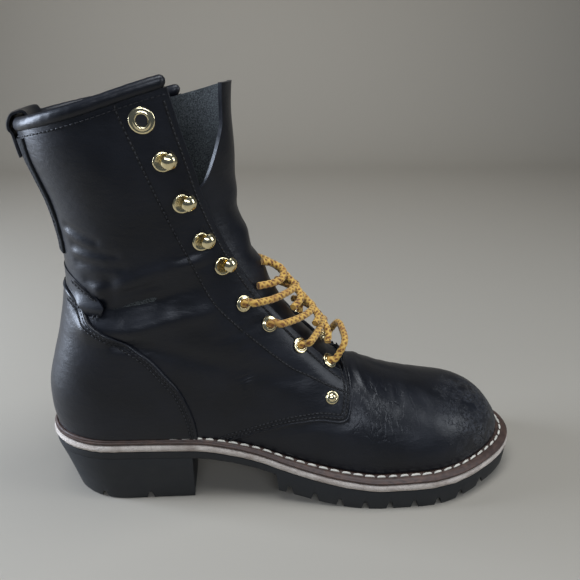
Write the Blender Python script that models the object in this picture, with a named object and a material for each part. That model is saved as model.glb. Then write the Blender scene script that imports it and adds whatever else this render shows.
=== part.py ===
"""Logger boot for the right foot: tall laced leather boot on a lugged sole with an underslung heel.

Metres, +Z up. +X runs from heel to toe and +Y to the inner side of the foot.
The origin is the middle of the heel's ground face.
"""
import math

import bmesh
import bpy
import numpy as np
from mathutils import Matrix, Vector
from mathutils.bvhtree import BVHTree

# Driving sizes, metres
SOLE_LENGTH = 0.312
BALL_WIDTH = 0.1045
HEEL_REST = 0.050
HEEL_HEIGHT = 0.0385
FOREPART = 0.0136
TOE_SPRING = 0.0030
TOE_LIFT = 0.0055
TREAD_ROCKER = 0.0095
SHANK = 0.0055
MIDSOLE = 0.0045
WELT = 0.0034
WELT_MARGIN = 0.0080
INSOLE = 0.0062
INSTEP_RISE = 0.060
LEG_HEIGHT = 0.158
WALL = 0.0023
TONGUE_THICK = 0.0022
OVERLAY = 0.0012
GAP = 0.0003
TONGUE_GAP = 0.0012
HEEL_ROUND = 0.042
TOE_ROUND = 0.066
HEEL_SLOPE = 0.0085
HEEL_FLARE_IN = 0.0022
SIDE_SWELL = 0.0016
COLLAR_ROLL_WIDTH = 0.0058
COLLAR_ROLL_HEIGHT = 0.0068
BACKSTAY_TOP = 0.050
BACKSTAY_FOOT = 0.032
PULL_LOOP_WIDTH = 0.030
PULL_LOOP_THICK = 0.0018
PULL_LOOP_DROP = 0.014
LUG_PITCH = 0.0160
LUG_NOTCH_WIDTH = 0.0060
LUG_NOTCH_DEPTH = 0.0052
CHANNEL_WIDTH = 0.0075
CHANNEL_DEPTH = 0.0045
SEAM_STEP = 0.0011
SEAM_RAMP = 0.0075
EYELET_RADIUS = 0.0050
EYELET_BORE = 0.0023
EYELET_HOLE_WALL = 0.0006
HOOK_RADIUS = 0.0052
RIVET_RADIUS = 0.0043
LACE_DIAMETER = 0.0042

# Worked out from the driving sizes
HEEL_BACK = -HEEL_REST
UPPER_HEIGHT = INSTEP_RISE + LEG_HEIGHT
LATERAL = -1
MEDIAL = 1

# Mesh counts
QUARTER_COLUMNS = 8
FRONT_COLUMNS = 4
COLUMNS = QUARTER_COLUMNS + FRONT_COLUMNS
FRONT_SAMPLES = 400
SEAM_STATIONS = 20
TONGUE_EDGE_STATIONS = 10
ROUND_POWER = 2.1
SECTION_POWER = 2.3


def table(columns, *rows):
    """Named columns of a short table of shares."""
    return dict(zip(columns.split(), np.array(rows, dtype=float).T))


# Sole edge seen from above, shares of the length and of the ball width, ends not yet rounded
PLAN = table(
    "share lateral medial spine",
    (0.00, 0.355, 0.355, 0.000),
    (0.15, 0.355, 0.360, 0.000),
    (0.30, 0.358, 0.335, 0.000),
    (0.42, 0.385, 0.305, 0.010),
    (0.50, 0.440, 0.320, 0.018),
    (0.60, 0.505, 0.385, 0.022),
    (0.68, 0.535, 0.440, 0.025),
    (0.76, 0.530, 0.470, 0.032),
    (0.84, 0.490, 0.487, 0.045),
    (0.92, 0.430, 0.500, 0.058),
    (1.00, 0.390, 0.500, 0.065),
)

# Underside of the midsole: share of the heel height over the forepart, then of the toe spring
PLATFORM = table(
    "share heel spring",
    (0.00, 1.08, 0.00),
    (0.10, 1.02, 0.00),
    (0.20, 0.99, 0.00),
    (0.30, 0.95, 0.00),
    (0.36, 0.84, 0.00),
    (0.42, 0.66, 0.00),
    (0.48, 0.43, 0.00),
    (0.55, 0.21, 0.00),
    (0.62, 0.06, 0.00),
    (0.68, 0.00, 0.00),
    (0.80, 0.00, 0.15),
    (0.90, 0.00, 0.55),
    (1.00, 0.00, 1.00),
)

# Ground side of the forepart tread: shares of the rear rocker and of the toe lift
TREAD = table(
    "share rocker lift",
    (0.45, 1.00, 0.00),
    (0.50, 0.70, 0.00),
    (0.55, 0.36, 0.00),
    (0.60, 0.10, 0.00),
    (0.64, 0.00, 0.00),
    (0.80, 0.00, 0.00),
    (0.88, 0.00, 0.42),
    (0.94, 0.00, 0.78),
    (1.00, 0.00, 1.00),
)
TREAD_START = 0.462
BREAST = 0.292

# Welt shown outside the upper, shares of the welt margin
MARGIN = table(
    "share show",
    (0.00, 0.32),
    (0.28, 0.40),
    (0.45, 0.72),
    (0.60, 0.95),
    (1.00, 1.00),
)

# Back line and width of the leg over the heel seat, shares of the upper height, length and ball width
LEG = table(
    "up back width",
    (0.000, 0.0130, 0.345),
    (0.055, 0.0085, 0.350),
    (0.110, 0.0100, 0.352),
    (0.210, 0.0260, 0.345),
    (0.300, 0.0455, 0.334),
    (0.380, 0.0590, 0.327),
    (0.470, 0.0665, 0.333),
    (0.540, 0.0660, 0.345),
    (0.600, 0.0615, 0.360),
    (0.660, 0.0530, 0.376),
    (0.720, 0.0400, 0.390),
    (0.780, 0.0275, 0.400),
    (0.840, 0.0210, 0.408),
    (0.900, 0.0180, 0.414),
    (1.000, 0.0150, 0.420),
)
COLLAR_BACK_UP = 0.832

# Front line of the closed form, collar to toe tip: z is feather + rise * instep + leg * leg height
FRONT = table(
    "place along rise leg",
    (0.00, 0.407, 1.00, 1.020),
    (0.07, 0.404, 1.00, 0.870),
    (0.14, 0.404, 1.00, 0.715),
    (0.20, 0.410, 1.00, 0.590),
    (0.25, 0.420, 1.00, 0.495),
    (0.30, 0.436, 1.00, 0.405),
    (0.35, 0.459, 1.00, 0.320),
    (0.40, 0.487, 1.00, 0.240),
    (0.46, 0.524, 1.00, 0.155),
    (0.52, 0.565, 1.00, 0.080),
    (0.58, 0.603, 1.00, 0.025),
    (0.62, 0.628, 0.98, 0.000),
    (0.70, 0.712, 0.82, 0.000),
    (0.78, 0.798, 0.70, 0.000),
    (0.84, 0.856, 0.625, 0.000),
    (0.88, 0.894, 0.545, 0.000),
    (0.92, 0.929, 0.425, 0.000),
    (0.95, 0.953, 0.280, 0.000),
    (0.975, 0.967, 0.130, 0.000),
    (1.00, 0.971, 0.000, 0.000),
)

# Rise of the rim off a straight line, back seam to front fold, shares of the leg's height
RIM = table(
    "run lateral medial",
    (0.00, 0.000, 0.000),
    (0.30, 0.006, -0.014),
    (0.68, 0.021, -0.050),
    (0.82, 0.000, -0.046),
    (1.00, -0.038, -0.038),
)

# Fan of sections: place on the front line, place on the back line and feather, setback of the throat
FAN = table(
    "row front far setback",
    (0, 0.000, 0.000, 0.1180),
    (7, 0.140, 0.092, 0.0740),
    (12, 0.250, 0.168, 0.0500),
    (16, 0.350, 0.256, 0.0350),
    (19, 0.457, 0.340, 0.0210),
    (21, 0.495, 0.380, 0.0180),
    (22, 0.502, 0.3825, 0.0178),
    (23, 0.508, 0.390, 0.0175),
    (24, 0.513, 0.401, 0.0172),
    (25, 0.518, 0.416, 0.0170),
    (26, 0.524, 0.434, 0.0166),
    (29, 0.545, 0.520, 0.0160),
    (32, 0.567, 0.610, 0.0150),
    (35, 0.590, 0.700, 0.0140),
    (38, 0.640, 0.780, 0.0180),
    (40, 0.700, 0.836, 0.0240),
    (42, 0.780, 0.892, 0.0300),
    (45, 0.870, 0.946, 0.0300),
    (48, 0.945, 0.985, 0.0240),
    (50, 1.000, 1.000, 0.0200),
)
ROWS = int(FAN["row"][-1])
RIM_ROWS = 12
WIDEST_SETBACK = 0.42
BUNCH_START = -0.02
BUNCH_END = 0.14
BUNCH_EVEN = 0.12
HEEL_CORNER = 0.380
THROAT_END = 0.590
TONGUE_FOOT = 0.640

# Counter's upper edge and the ankle band's upper edge: shares of the length and the upper height
COUNTER = table(
    "along up",
    (-0.060, 0.445),
    (0.055, 0.432),
    (0.093, 0.405),
    (0.125, 0.350),
    (0.160, 0.316),
    (0.195, 0.286),
    (0.227, 0.247),
    (0.254, 0.195),
    (0.276, 0.150),
    (0.291, 0.098),
    (0.303, 0.035),
    (0.309, -0.060),
)
ANKLE_BAND = table(
    "along up",
    (-0.060, 0.520),
    (0.050, 0.492),
    (0.093, 0.462),
    (0.148, 0.412),
    (0.151, 0.382),
    (0.130, 0.358),
)

# Front edge of the quarters, from the throat down and back to the welt, and the tongue's folded outer edge
SEAM = table(
    "along up",
    (0.614, 0.161),
    (0.617, 0.131),
    (0.615, 0.096),
    (0.611, 0.069),
    (0.604, 0.049),
    (0.591, 0.042),
    (0.570, 0.046),
    (0.546, 0.049),
    (0.492, 0.036),
    (0.451, 0.016),
    (0.414, -0.003),
    (0.378, -0.021),
    (0.346, -0.046),
)
TONGUE_EDGE = table(
    "along up",
    (0.310, 0.650),
    (0.335, 0.674),
    (0.346, 0.706),
    (0.359, 0.743),
    (0.375, 0.812),
    (0.386, 0.872),
    (0.390, 0.977),
    (0.391, 1.100),
)

# Hardware up each facing: shares of the length and of the upper height over the heel seat
FACING = table(
    "along up hook",
    (0.5740, 0.190, 0),
    (0.5130, 0.252, 0),
    (0.4530, 0.327, 0),
    (0.4050, 0.394, 0),
    (0.3720, 0.504, 1),
    (0.3370, 0.576, 1),
    (0.3090, 0.678, 1),
    (0.2830, 0.782, 1),
    (0.2520, 0.874, 0),
)
FACING_BEND = 0.60
RIVET_ALONG = 0.575
RIVET_UP = 0.110


def smooth(knots, values, at):
    """Smooth curve through the knots that never swings past them."""
    knots = np.asarray(knots, dtype=float)
    values = np.asarray(values, dtype=float)
    at = np.clip(np.asarray(at, dtype=float), knots[0], knots[-1])
    step = np.diff(knots)
    slope = np.diff(values) / step
    tangent = np.zeros_like(values)
    tangent[0] = slope[0]
    tangent[-1] = slope[-1]
    rising = slope[:-1] * slope[1:] > 0
    total = np.where(rising, slope[:-1] + slope[1:], 1.0)
    tangent[1:-1] = np.where(rising, 2 * slope[:-1] * slope[1:] / total, 0.0)
    cell = np.clip(np.searchsorted(knots, at, side="right") - 1, 0, len(step) - 1)
    t = (at - knots[cell]) / step[cell]
    start = values[cell] * (1 + 2 * t) * (1 - t) ** 2 + tangent[cell] * step[cell] * t * (1 - t) ** 2
    end = values[cell + 1] * t * t * (3 - 2 * t) - tangent[cell + 1] * step[cell] * t * t * (1 - t)
    return start + end


def read(source, column, at, key="share"):
    return smooth(source[key], source[column], at)


def along(share):
    """X of a share of the sole's length from the heel's back."""
    return HEEL_BACK + np.asarray(share) * SOLE_LENGTH


def share_of(x):
    return (np.asarray(x) - HEEL_BACK) / SOLE_LENGTH


def rounded(t, power=ROUND_POWER):
    """Rise from 0 to 1 along a round end, 1 past it."""
    t = np.clip(t, 0.0, 1.0)
    return np.maximum(1 - (1 - t) ** power, 0.0) ** (1 / power)


def platform(x):
    """Underside of the midsole."""
    share = share_of(x)
    heel = read(PLATFORM, "heel", share)
    return FOREPART + (HEEL_HEIGHT - FOREPART) * heel + TOE_SPRING * read(PLATFORM, "spring", share)


def midsole_top(x):
    return platform(x) + MIDSOLE


def welt_low(x):
    return midsole_top(x) + GAP


def welt_top(x):
    return welt_low(x) + WELT


def feather(x):
    """Lower edge of the upper, on the welt."""
    return welt_top(x) + GAP


def tread(x):
    """Ground side of the forepart."""
    share = share_of(x)
    return TREAD_ROCKER * read(TREAD, "rocker", share) + TOE_LIFT * read(TREAD, "lift", share)


def show_of(x):
    return WELT_MARGIN * read(MARGIN, "show", share_of(x))


def spine(x):
    return BALL_WIDTH * read(PLAN, "spine", share_of(x))


def reach(x, side):
    """Distance from the spine to the sole's edge, its ends not yet rounded."""
    column = "medial" if side == MEDIAL else "lateral"
    return BALL_WIDTH * read(PLAN, column, share_of(x)) - side * spine(x)


def sole_edge(x, side, inset):
    """Y of the sole's outline, drawn in all round by the inset."""
    back = (x - along(0) - inset) / HEEL_ROUND
    tip = (along(1) - inset - x) / TOE_ROUND
    return spine(x) + side * (reach(x, side) - inset) * rounded(back) * rounded(tip)


def seat():
    return float(feather(along(0)))


def height_of(up):
    return seat() + np.asarray(up) * UPPER_HEIGHT


def leg_back(z):
    return along(read(LEG, "back", (z - seat()) / UPPER_HEIGHT, key="up"))


def leg_width(z):
    return BALL_WIDTH * read(LEG, "width", (z - seat()) / UPPER_HEIGHT, key="up")


def front_point(place):
    """Point of the closed form's front line."""
    x = along(read(FRONT, "along", place, key="place"))
    rise = read(FRONT, "rise", place, key="place")
    leg = read(FRONT, "leg", place, key="place")
    return x, feather(x) + rise * INSTEP_RISE + leg * LEG_HEIGHT


def far_point(place):
    """Point of the back line down to the heel corner, then of the feather to the toe tip."""
    place = np.asarray(place, dtype=float)
    down = np.clip(place / HEEL_CORNER, 0, 1)
    z_back = height_of(COLLAR_BACK_UP * (1 - down))
    x_start = leg_back(seat())
    forward = np.clip((place - HEEL_CORNER) / (1 - HEEL_CORNER), 0, 1)
    x_feather = x_start + forward * (front_point(1.0)[0] - x_start)
    on_back = place <= HEEL_CORNER
    return np.where(on_back, leg_back(z_back), x_feather), np.where(on_back, z_back, feather(x_feather))


def rim_slope():
    (x_back, z_back), (x_front, z_front) = far_point(0.0), front_point(0.0)
    return (z_front - z_back) / (x_front - x_back)


def rim_bend(x, side):
    """Rise of the rim off its straight line: the inner side sags towards the front."""
    run = (x - far_point(0.0)[0]) / (front_point(0.0)[0] - far_point(0.0)[0])
    lateral, medial = (read(RIM, column, run, key="run") for column in ("lateral", "medial"))
    return LEG_HEIGHT * np.where(np.asarray(side) == MEDIAL, medial, lateral)


def rim_height(x, side):
    """Height of the upper's rim."""
    x_back, z_back = far_point(0.0)
    return z_back + (x - x_back) * rim_slope() + rim_bend(x, side)


FRONT_X, FRONT_Z = front_point(np.linspace(0, 1, FRONT_SAMPLES))
TURN = int(np.argmin(FRONT_X))
OPEN_HEIGHT = 2 * UPPER_HEIGHT


def ridge_height(x):
    """Height of the front line over x, far up where the leg is open above."""
    return np.interp(x, FRONT_X[TURN:], FRONT_Z[TURN:], left=OPEN_HEIGHT)


def leg_front(z):
    return np.interp(z, FRONT_Z[::-1], FRONT_X[::-1])


def step_between(low, high, value):
    t = np.clip((value - low) / (high - low), 0, 1)
    return t * t * (3 - 2 * t)


# Where the foot's upright sections hand over to the leg's level ones, and how round the leg is
HAND_OVER_LOW = 0.10
HAND_OVER_HIGH = 0.46
LEG_ROUND = 0.160
UPPER_HEEL_ROUND = 0.132
UPPER_TOE_ROUND = 0.185
SWELL_HEIGHT = 0.016


def hand_over(z):
    """Share of the leg's level sections at a height."""
    return step_between(height_of(HAND_OVER_LOW), height_of(HAND_OVER_HIGH), z)


def surface_y(x, z, side):
    """Y of the upper's outer face at a side-view point: lateral or medial side."""
    x = np.asarray(x, dtype=float)
    z = np.asarray(z, dtype=float)
    back = leg_back(z)
    tip = FRONT_X[-1]
    low = feather(x)
    swell = SIDE_SWELL * rounded((z - low) / SWELL_HEIGHT, 2)
    wide = reach(x, side) - show_of(x) + swell
    heel_end = rounded((x - back) / (UPPER_HEEL_ROUND * SOLE_LENGTH))
    toe_end = rounded((tip - x) / (UPPER_TOE_ROUND * SOLE_LENGTH))
    climb = np.clip((z - low) / np.maximum(ridge_height(x) - low, GAP), 0, 1)
    foot = wide * heel_end * toe_end * (1 - climb ** SECTION_POWER) ** (1 / SECTION_POWER)
    leg_end = rounded((x - back) / (LEG_ROUND * SOLE_LENGTH))
    leg_start = rounded((leg_front(z) - x) / (LEG_ROUND * SOLE_LENGTH))
    leg = leg_width(z) * leg_end * leg_start
    share = hand_over(z)
    return spine(x) * (1 - share) + side * (foot * (1 - share) + leg * share)


def row_places():
    """Places of every fan row on the front line and the far line, and the throat's setback."""
    rows = np.arange(ROWS + 1)
    return tuple(read(FAN, column, rows, key="row") for column in ("front", "far", "setback"))


def build_form():
    """Grid of the closed form: points by side, row and column, shared where the sides meet."""
    front, far, setback = row_places()
    x_near, z_near = front_point(front)
    x_far, z_far = far_point(far)
    length = np.maximum(np.hypot(x_near - x_far, z_near - z_far), GAP)
    edge = 1 - np.minimum(setback * SOLE_LENGTH / length, WIDEST_SETBACK)
    bunch = 1 - step_between(HEEL_CORNER + BUNCH_START, HEEL_CORNER + BUNCH_END, far)
    points = []
    sides = []
    index = np.zeros((2, ROWS + 1, COLUMNS + 1), dtype=int)
    for row in range(ROWS + 1):
        for side_index, side in enumerate((LATERAL, MEDIAL)):
            for column in range(COLUMNS + 1):
                at_front = column == COLUMNS
                at_back = column == 0 and far[row] <= HEEL_CORNER
                if row == ROWS and (column > 0 or side == MEDIAL):
                    index[side_index, row, column] = index[0, row, 0]
                    continue
                if side == MEDIAL and (at_front or at_back):
                    index[side_index, row, column] = index[0, row, column]
                    continue
                if column <= QUARTER_COLUMNS:
                    s = column / QUARTER_COLUMNS
                    t = edge[row] * ((1 - bunch[row]) * s + bunch[row] * (BUNCH_EVEN * s + (1 - BUNCH_EVEN) * s * s))
                else:
                    s = (column - QUARTER_COLUMNS) / FRONT_COLUMNS
                    t = edge[row] + (1 - edge[row]) * (1 - (1 - s) ** 2)
                x = x_far[row] + t * (x_near[row] - x_far[row])
                z = z_far[row] + t * (z_near[row] - z_far[row])
                y = float(surface_y(x, z, side))
                if at_front or at_back:
                    y = float(spine(x) * (1 - hand_over(z)))
                z += max(1 - row / RIM_ROWS, 0) * float(rim_bend(x, side))
                index[side_index, row, column] = len(points)
                points.append((x, y, z))
                sides.append(side)
    return np.array(points), np.array(sides), index, front, far


def form_faces(index):
    """Faces of the closed form, keyed by side, row and column, wound outwards."""
    faces = {}
    for side_index in (0, 1):
        for row in range(ROWS):
            for column in range(COLUMNS):
                loop = [index[side_index, row, column], index[side_index, row, column + 1],
                        index[side_index, row + 1, column + 1], index[side_index, row + 1, column]]
                if side_index == 0:
                    loop.reverse()
                corners = []
                for corner in loop:
                    if corner not in corners:
                        corners.append(int(corner))
                pairs = zip(corners[1:-1], corners[2:])
                faces[side_index, row, column] = [[corners[0], *pair] for pair in pairs]
    return faces


def face_normals(points, faces):
    """Normal at each point, the mean of the faces round it."""
    normals = np.zeros_like(points)
    for triangles in faces.values():
        for a, b, c in triangles:
            normal = np.cross(points[b] - points[a], points[c] - points[a])
            for corner in (a, b, c):
                normals[corner] += normal
    return normals / np.linalg.norm(normals, axis=1)[:, None]


FORM_POINTS, FORM_SIDES, FORM_INDEX, FORM_FRONT, FORM_FAR = build_form()
FORM_FACES = form_faces(FORM_INDEX)
FORM_NORMALS = face_normals(FORM_POINTS, FORM_FACES)
ON_FEATHER = set(FORM_INDEX[:, FORM_FAR >= HEEL_CORNER - GAP / SOLE_LENGTH, 0].ravel().tolist())
ON_RIM = set(FORM_INDEX[:, 0, :].ravel().tolist())
THROAT_ROW = int(np.argmin(np.abs(FORM_FRONT - THROAT_END)))
TONGUE_ROW = int(np.argmin(np.abs(FORM_FRONT - TONGUE_FOOT)))
ALL_FACES = [face for faces in FORM_FACES.values() for face in faces]
FORM_TREE = BVHTree.FromPolygons(FORM_POINTS.tolist(), ALL_FACES)


def material(name, colour, roughness, metallic=0.0):
    made = bpy.data.materials.new(name)
    made.use_nodes = True
    shader = made.node_tree.nodes["Principled BSDF"]
    shader.inputs["Base Color"].default_value = (*colour, 1.0)
    shader.inputs["Roughness"].default_value = roughness
    shader.inputs["Metallic"].default_value = metallic
    return made


def face_outwards(mesh):
    shape = bmesh.new()
    shape.from_mesh(mesh)
    bmesh.ops.recalc_face_normals(shape, faces=shape.faces)
    shape.to_mesh(mesh)
    shape.free()


def add_object(name, vertices, faces, finish):
    mesh = bpy.data.meshes.new(name)
    mesh.from_pydata([tuple(map(float, vertex)) for vertex in vertices], [], faces)
    mesh.materials.append(finish)
    face_outwards(mesh)
    mesh.shade_smooth()
    mesh.set_sharp_from_angle(angle=math.radians(38))
    made = bpy.data.objects.new(name, mesh)
    bpy.context.scene.collection.objects.link(made)
    return made


def shell(name, chosen, outer, inner, finish):
    """Closed solid between two offsets of the form's chosen faces."""
    used = sorted({corner for corners in chosen for corner in corners})
    local = {corner: place for place, corner in enumerate(used)}
    count = len(used)
    base = FORM_POINTS[used]
    normals = FORM_NORMALS[used]
    vertices = np.vstack((base + normals * outer, base + normals * inner))
    on_feather = np.array([corner in ON_FEATHER for corner in used] * 2)
    vertices[on_feather, 2] = feather(vertices[on_feather, 0])
    on_rim = np.array([corner in ON_RIM for corner in used] * 2)
    sides = np.tile(FORM_SIDES[used], 2)
    vertices[on_rim, 2] = rim_height(vertices[on_rim, 0], sides[on_rim])
    faces = []
    edges = set()
    for corners in chosen:
        face = [local[corner] for corner in corners]
        faces.append(face)
        faces.append([corner + count for corner in reversed(face)])
        edges.update(zip(face, face[1:] + face[:1]))
    for start, end in edges:
        if (end, start) not in edges:
            faces.append([end, start, start + count, end + count])
    return add_object(name, vertices, faces, finish)


def faces_where(wanted):
    return [triangle for key, triangles in FORM_FACES.items() if wanted(*key) for triangle in triangles]


def outward(x, z, side):
    """Normal of the upper's outer face at a side-view point."""
    slope_x = (surface_y(x + GAP, z, side) - surface_y(x - GAP, z, side)) / (2 * GAP)
    slope_z = (surface_y(x, z + GAP, side) - surface_y(x, z - GAP, side)) / (2 * GAP)
    normal = side * np.array((-float(slope_x), 1.0, -float(slope_z)))
    return normal / np.linalg.norm(normal)


def vamp_step(side):
    """Cutter that lowers the vamp against the quarter's front edge and fades out ahead of it."""
    line = np.array(edge_points(SEAM, SEAM_STATIONS))
    heading = np.gradient(line, axis=0)
    heading /= np.linalg.norm(heading, axis=1)[:, None]
    ahead = line + np.column_stack((-heading[:, 1], heading[:, 0])) * SEAM_RAMP
    above = WALL + GAP
    vertices = []
    for (x, z), (x_ahead, z_ahead) in zip(line, ahead):
        for at_x, at_z, depths in ((x, z, (-SEAM_STEP, above)), (x_ahead, z_ahead, (above, GAP))):
            base = np.array((at_x, float(surface_y(at_x, at_z, side)), at_z))
            for depth in depths:
                vertices.append(base + outward(at_x, at_z, side) * depth)
    faces = [[0, 1, 2, 3], [len(vertices) - 1 - corner for corner in range(4)]]
    for first in range(0, len(vertices) - 4, 4):
        for corner in range(4):
            later = (corner + 1) % 4
            faces.append([first + corner, first + later, first + later + 4, first + corner + 4])
    return cutter_object("vamp_step_" + ("medial" if side == MEDIAL else "lateral"), vertices, faces)


def make_upper(finish):
    """Vamp, quarters and leg in one wall, open at collar, throat and underneath."""
    chosen = faces_where(lambda side, row, column: row >= THROAT_ROW or column < QUARTER_COLUMNS)
    upper = shell("upper", chosen, 0.0, -WALL, finish)
    for side in (LATERAL, MEDIAL):
        cut(upper, vamp_step(side))
    return upper


def make_tongue(finish):
    """Leaf under the facings, from the vamp to the collar."""
    low = -WALL - TONGUE_GAP
    chosen = faces_where(lambda side, row, column: row < TONGUE_ROW and column >= QUARTER_COLUMNS - 1)
    tongue = shell("tongue", chosen, low, low - TONGUE_THICK, finish)
    edge = edge_points(TONGUE_EDGE, TONGUE_EDGE_STATIONS)
    corners = [(float(along(0)), edge[0][1])] + edge + [(float(along(0)), edge[-1][1])]
    cut(tongue, prism("tongue_edge", corners, "y", -OUTSIDE, 0.0))
    return tongue


def end_spaced(start, end, count, back_round, tip_round):
    """X stations from start to end, close together at the ends that are round."""
    t = np.linspace(0, 1, count)
    if back_round and tip_round:
        t = 0.5 - 0.5 * np.cos(np.pi * t)
        t = 0.75 * t + 0.25 * np.linspace(0, 1, count)
        t[1] = 0.25 * t[2]
        t[-2] = 1 - 0.25 * (1 - t[-3])
    elif back_round:
        t = t ** 1.6
    elif tip_round:
        t = 1 - (1 - t) ** 1.6
    return start + t * (end - start)


def outline(stations, inset):
    """Lateral and medial edge points of a layer, heel to toe."""
    return tuple([(x, float(sole_edge(x, side, inset))) for x in stations] for side in (LATERAL, MEDIAL))


def layer(name, stations, insets, heights, finish):
    """Plate whose edge passes the given insets at the given heights, lowest first."""
    count = len(stations)
    vertices = []
    rings = []
    for inset, height in zip(insets, heights):
        ends = (stations[0] + inset * (stations[0] <= along(0) + GAP),
                stations[-1] - inset * (stations[-1] >= along(1) - GAP))
        fitted = ends[0] + (stations - stations[0]) * (ends[1] - ends[0]) / (stations[-1] - stations[0])
        lateral, medial = outline(fitted, inset)
        ring = []
        for x, y in lateral:
            ring.append(len(vertices))
            vertices.append((x, y, float(height(x))))
        back = []
        for place, (x, y) in enumerate(medial):
            if abs(y - lateral[place][1]) < GAP:
                back.append(ring[place])
                continue
            back.append(len(vertices))
            vertices.append((x, y, float(height(x))))
        rings.append((ring, back))
    faces = []
    for (low_l, low_m), (high_l, high_m) in zip(rings[:-1], rings[1:]):
        for place in range(count - 1):
            faces.append([low_l[place], low_l[place + 1], high_l[place + 1], high_l[place]])
            faces.append([low_m[place + 1], low_m[place], high_m[place], high_m[place + 1]])
        for place, flip in ((0, False), (count - 1, True)):
            if low_l[place] != low_m[place]:
                end = [low_m[place], low_l[place], high_l[place], high_m[place]]
                faces.append(end[::-1] if flip else end)
    for (ring, back), flip in ((rings[0], False), (rings[-1], True)):
        for place in range(count - 1):
            cap = [ring[place], back[place], back[place + 1], ring[place + 1]]
            cap = list(dict.fromkeys(cap))
            faces.append(cap[::-1] if flip else cap)
    faces = [face for face in faces if len(set(face)) >= 3]
    return add_object(name, vertices, [list(dict.fromkeys(face)) for face in faces], finish)


def cutter_object(name, vertices, faces):
    mesh = bpy.data.meshes.new(name)
    mesh.from_pydata([tuple(map(float, vertex)) for vertex in vertices], [], faces)
    face_outwards(mesh)
    cutter = bpy.data.objects.new(name, mesh)
    cutter.hide_render = True
    cutter.display_type = "WIRE"
    bpy.context.scene.collection.objects.link(cutter)
    return cutter


def prism(name, corners, axis, low, high):
    """Cutter: a closed outline drawn out along an axis, 'x' or 'y' or 'z'."""
    order = {"x": (2, 0, 1), "y": (0, 2, 1), "z": (0, 1, 2)}[axis]
    vertices = []
    for level in (low, high):
        for corner in corners:
            values = (corner[0], corner[1], level)
            vertices.append(tuple(float(values[place]) for place in order))
    count = len(corners)
    faces = [list(range(count))[::-1], list(range(count, 2 * count))]
    for place in range(count):
        after = (place + 1) % count
        faces.append([place, after, after + count, place + count])
    return cutter_object(name, vertices, faces)


def cut(target, cutter, operation="DIFFERENCE"):
    change = target.modifiers.new(cutter.name, "BOOLEAN")
    change.operation = operation
    change.object = cutter
    change.solver = "EXACT"


def joined_cutter(name, cutters):
    """Several separate cutters as one object."""
    shape = bmesh.new()
    for cutter in cutters:
        shape.from_mesh(cutter.data)
        bpy.data.objects.remove(cutter)
    mesh = bpy.data.meshes.new(name)
    shape.to_mesh(mesh)
    shape.free()
    cutter = bpy.data.objects.new(name, mesh)
    cutter.hide_render = True
    cutter.display_type = "WIRE"
    bpy.context.scene.collection.objects.link(cutter)
    return cutter


# Sole unit

LUG_COUNT = 9
LUG_FIRST = 0.490
HEEL_NOTCHES = (0.105, 0.200)
SOLE_STATIONS = 34


def notch(x, ground):
    """Cutter across the tread: a groove with a narrow top."""
    half = LUG_NOTCH_WIDTH / 2
    corners = ((x - half * 1.3, ground - LUG_NOTCH_DEPTH), (x + half * 1.3, ground - LUG_NOTCH_DEPTH),
               (x + half * 0.35, ground + LUG_NOTCH_DEPTH), (x - half * 0.35, ground + LUG_NOTCH_DEPTH))
    return prism("notch", corners, "y", -BALL_WIDTH, BALL_WIDTH)


def channel(start, end):
    """Cutter along the middle of the tread."""
    corners = []
    stations = np.linspace(start, end, 6)
    for x in stations:
        corners.append((x, float(spine(x)) - BALL_WIDTH * 0.03 - CHANNEL_WIDTH / 2))
    for x in stations[::-1]:
        corners.append((x, float(spine(x)) - BALL_WIDTH * 0.03 + CHANNEL_WIDTH / 2))
    return prism("channel", corners, "z", -CHANNEL_DEPTH, CHANNEL_DEPTH)


def make_outsole(finish):
    """Full-length rubber: thin over heel and shank, thick and lugged under the forepart."""
    tread_start = float(along(TREAD_START))
    rear = end_spaced(float(along(0)), tread_start, 15, True, False)
    front = end_spaced(tread_start + 0.0016, float(along(1)), 22, False, True)
    stations = np.concatenate((rear, front))

    def low(x):
        if x <= tread_start + GAP:
            return platform(x) - SHANK
        return tread(x)

    def bevel(x):
        return low(x) + 0.30 * (platform(x) - low(x))

    heights = (low, bevel, lambda x: platform(x) - GAP)
    sole = layer("outsole", stations, (0.0018, 0.0004, 0.0002), heights, finish)
    places = [float(along(LUG_FIRST)) + number * LUG_PITCH for number in range(LUG_COUNT)]
    notches = joined_cutter("lug_cutter", [notch(x, float(tread(x))) for x in places])
    cut(sole, notches)
    cut(sole, channel(tread_start + LUG_PITCH, float(along(1)) - LUG_PITCH * 1.6))
    return sole


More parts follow.
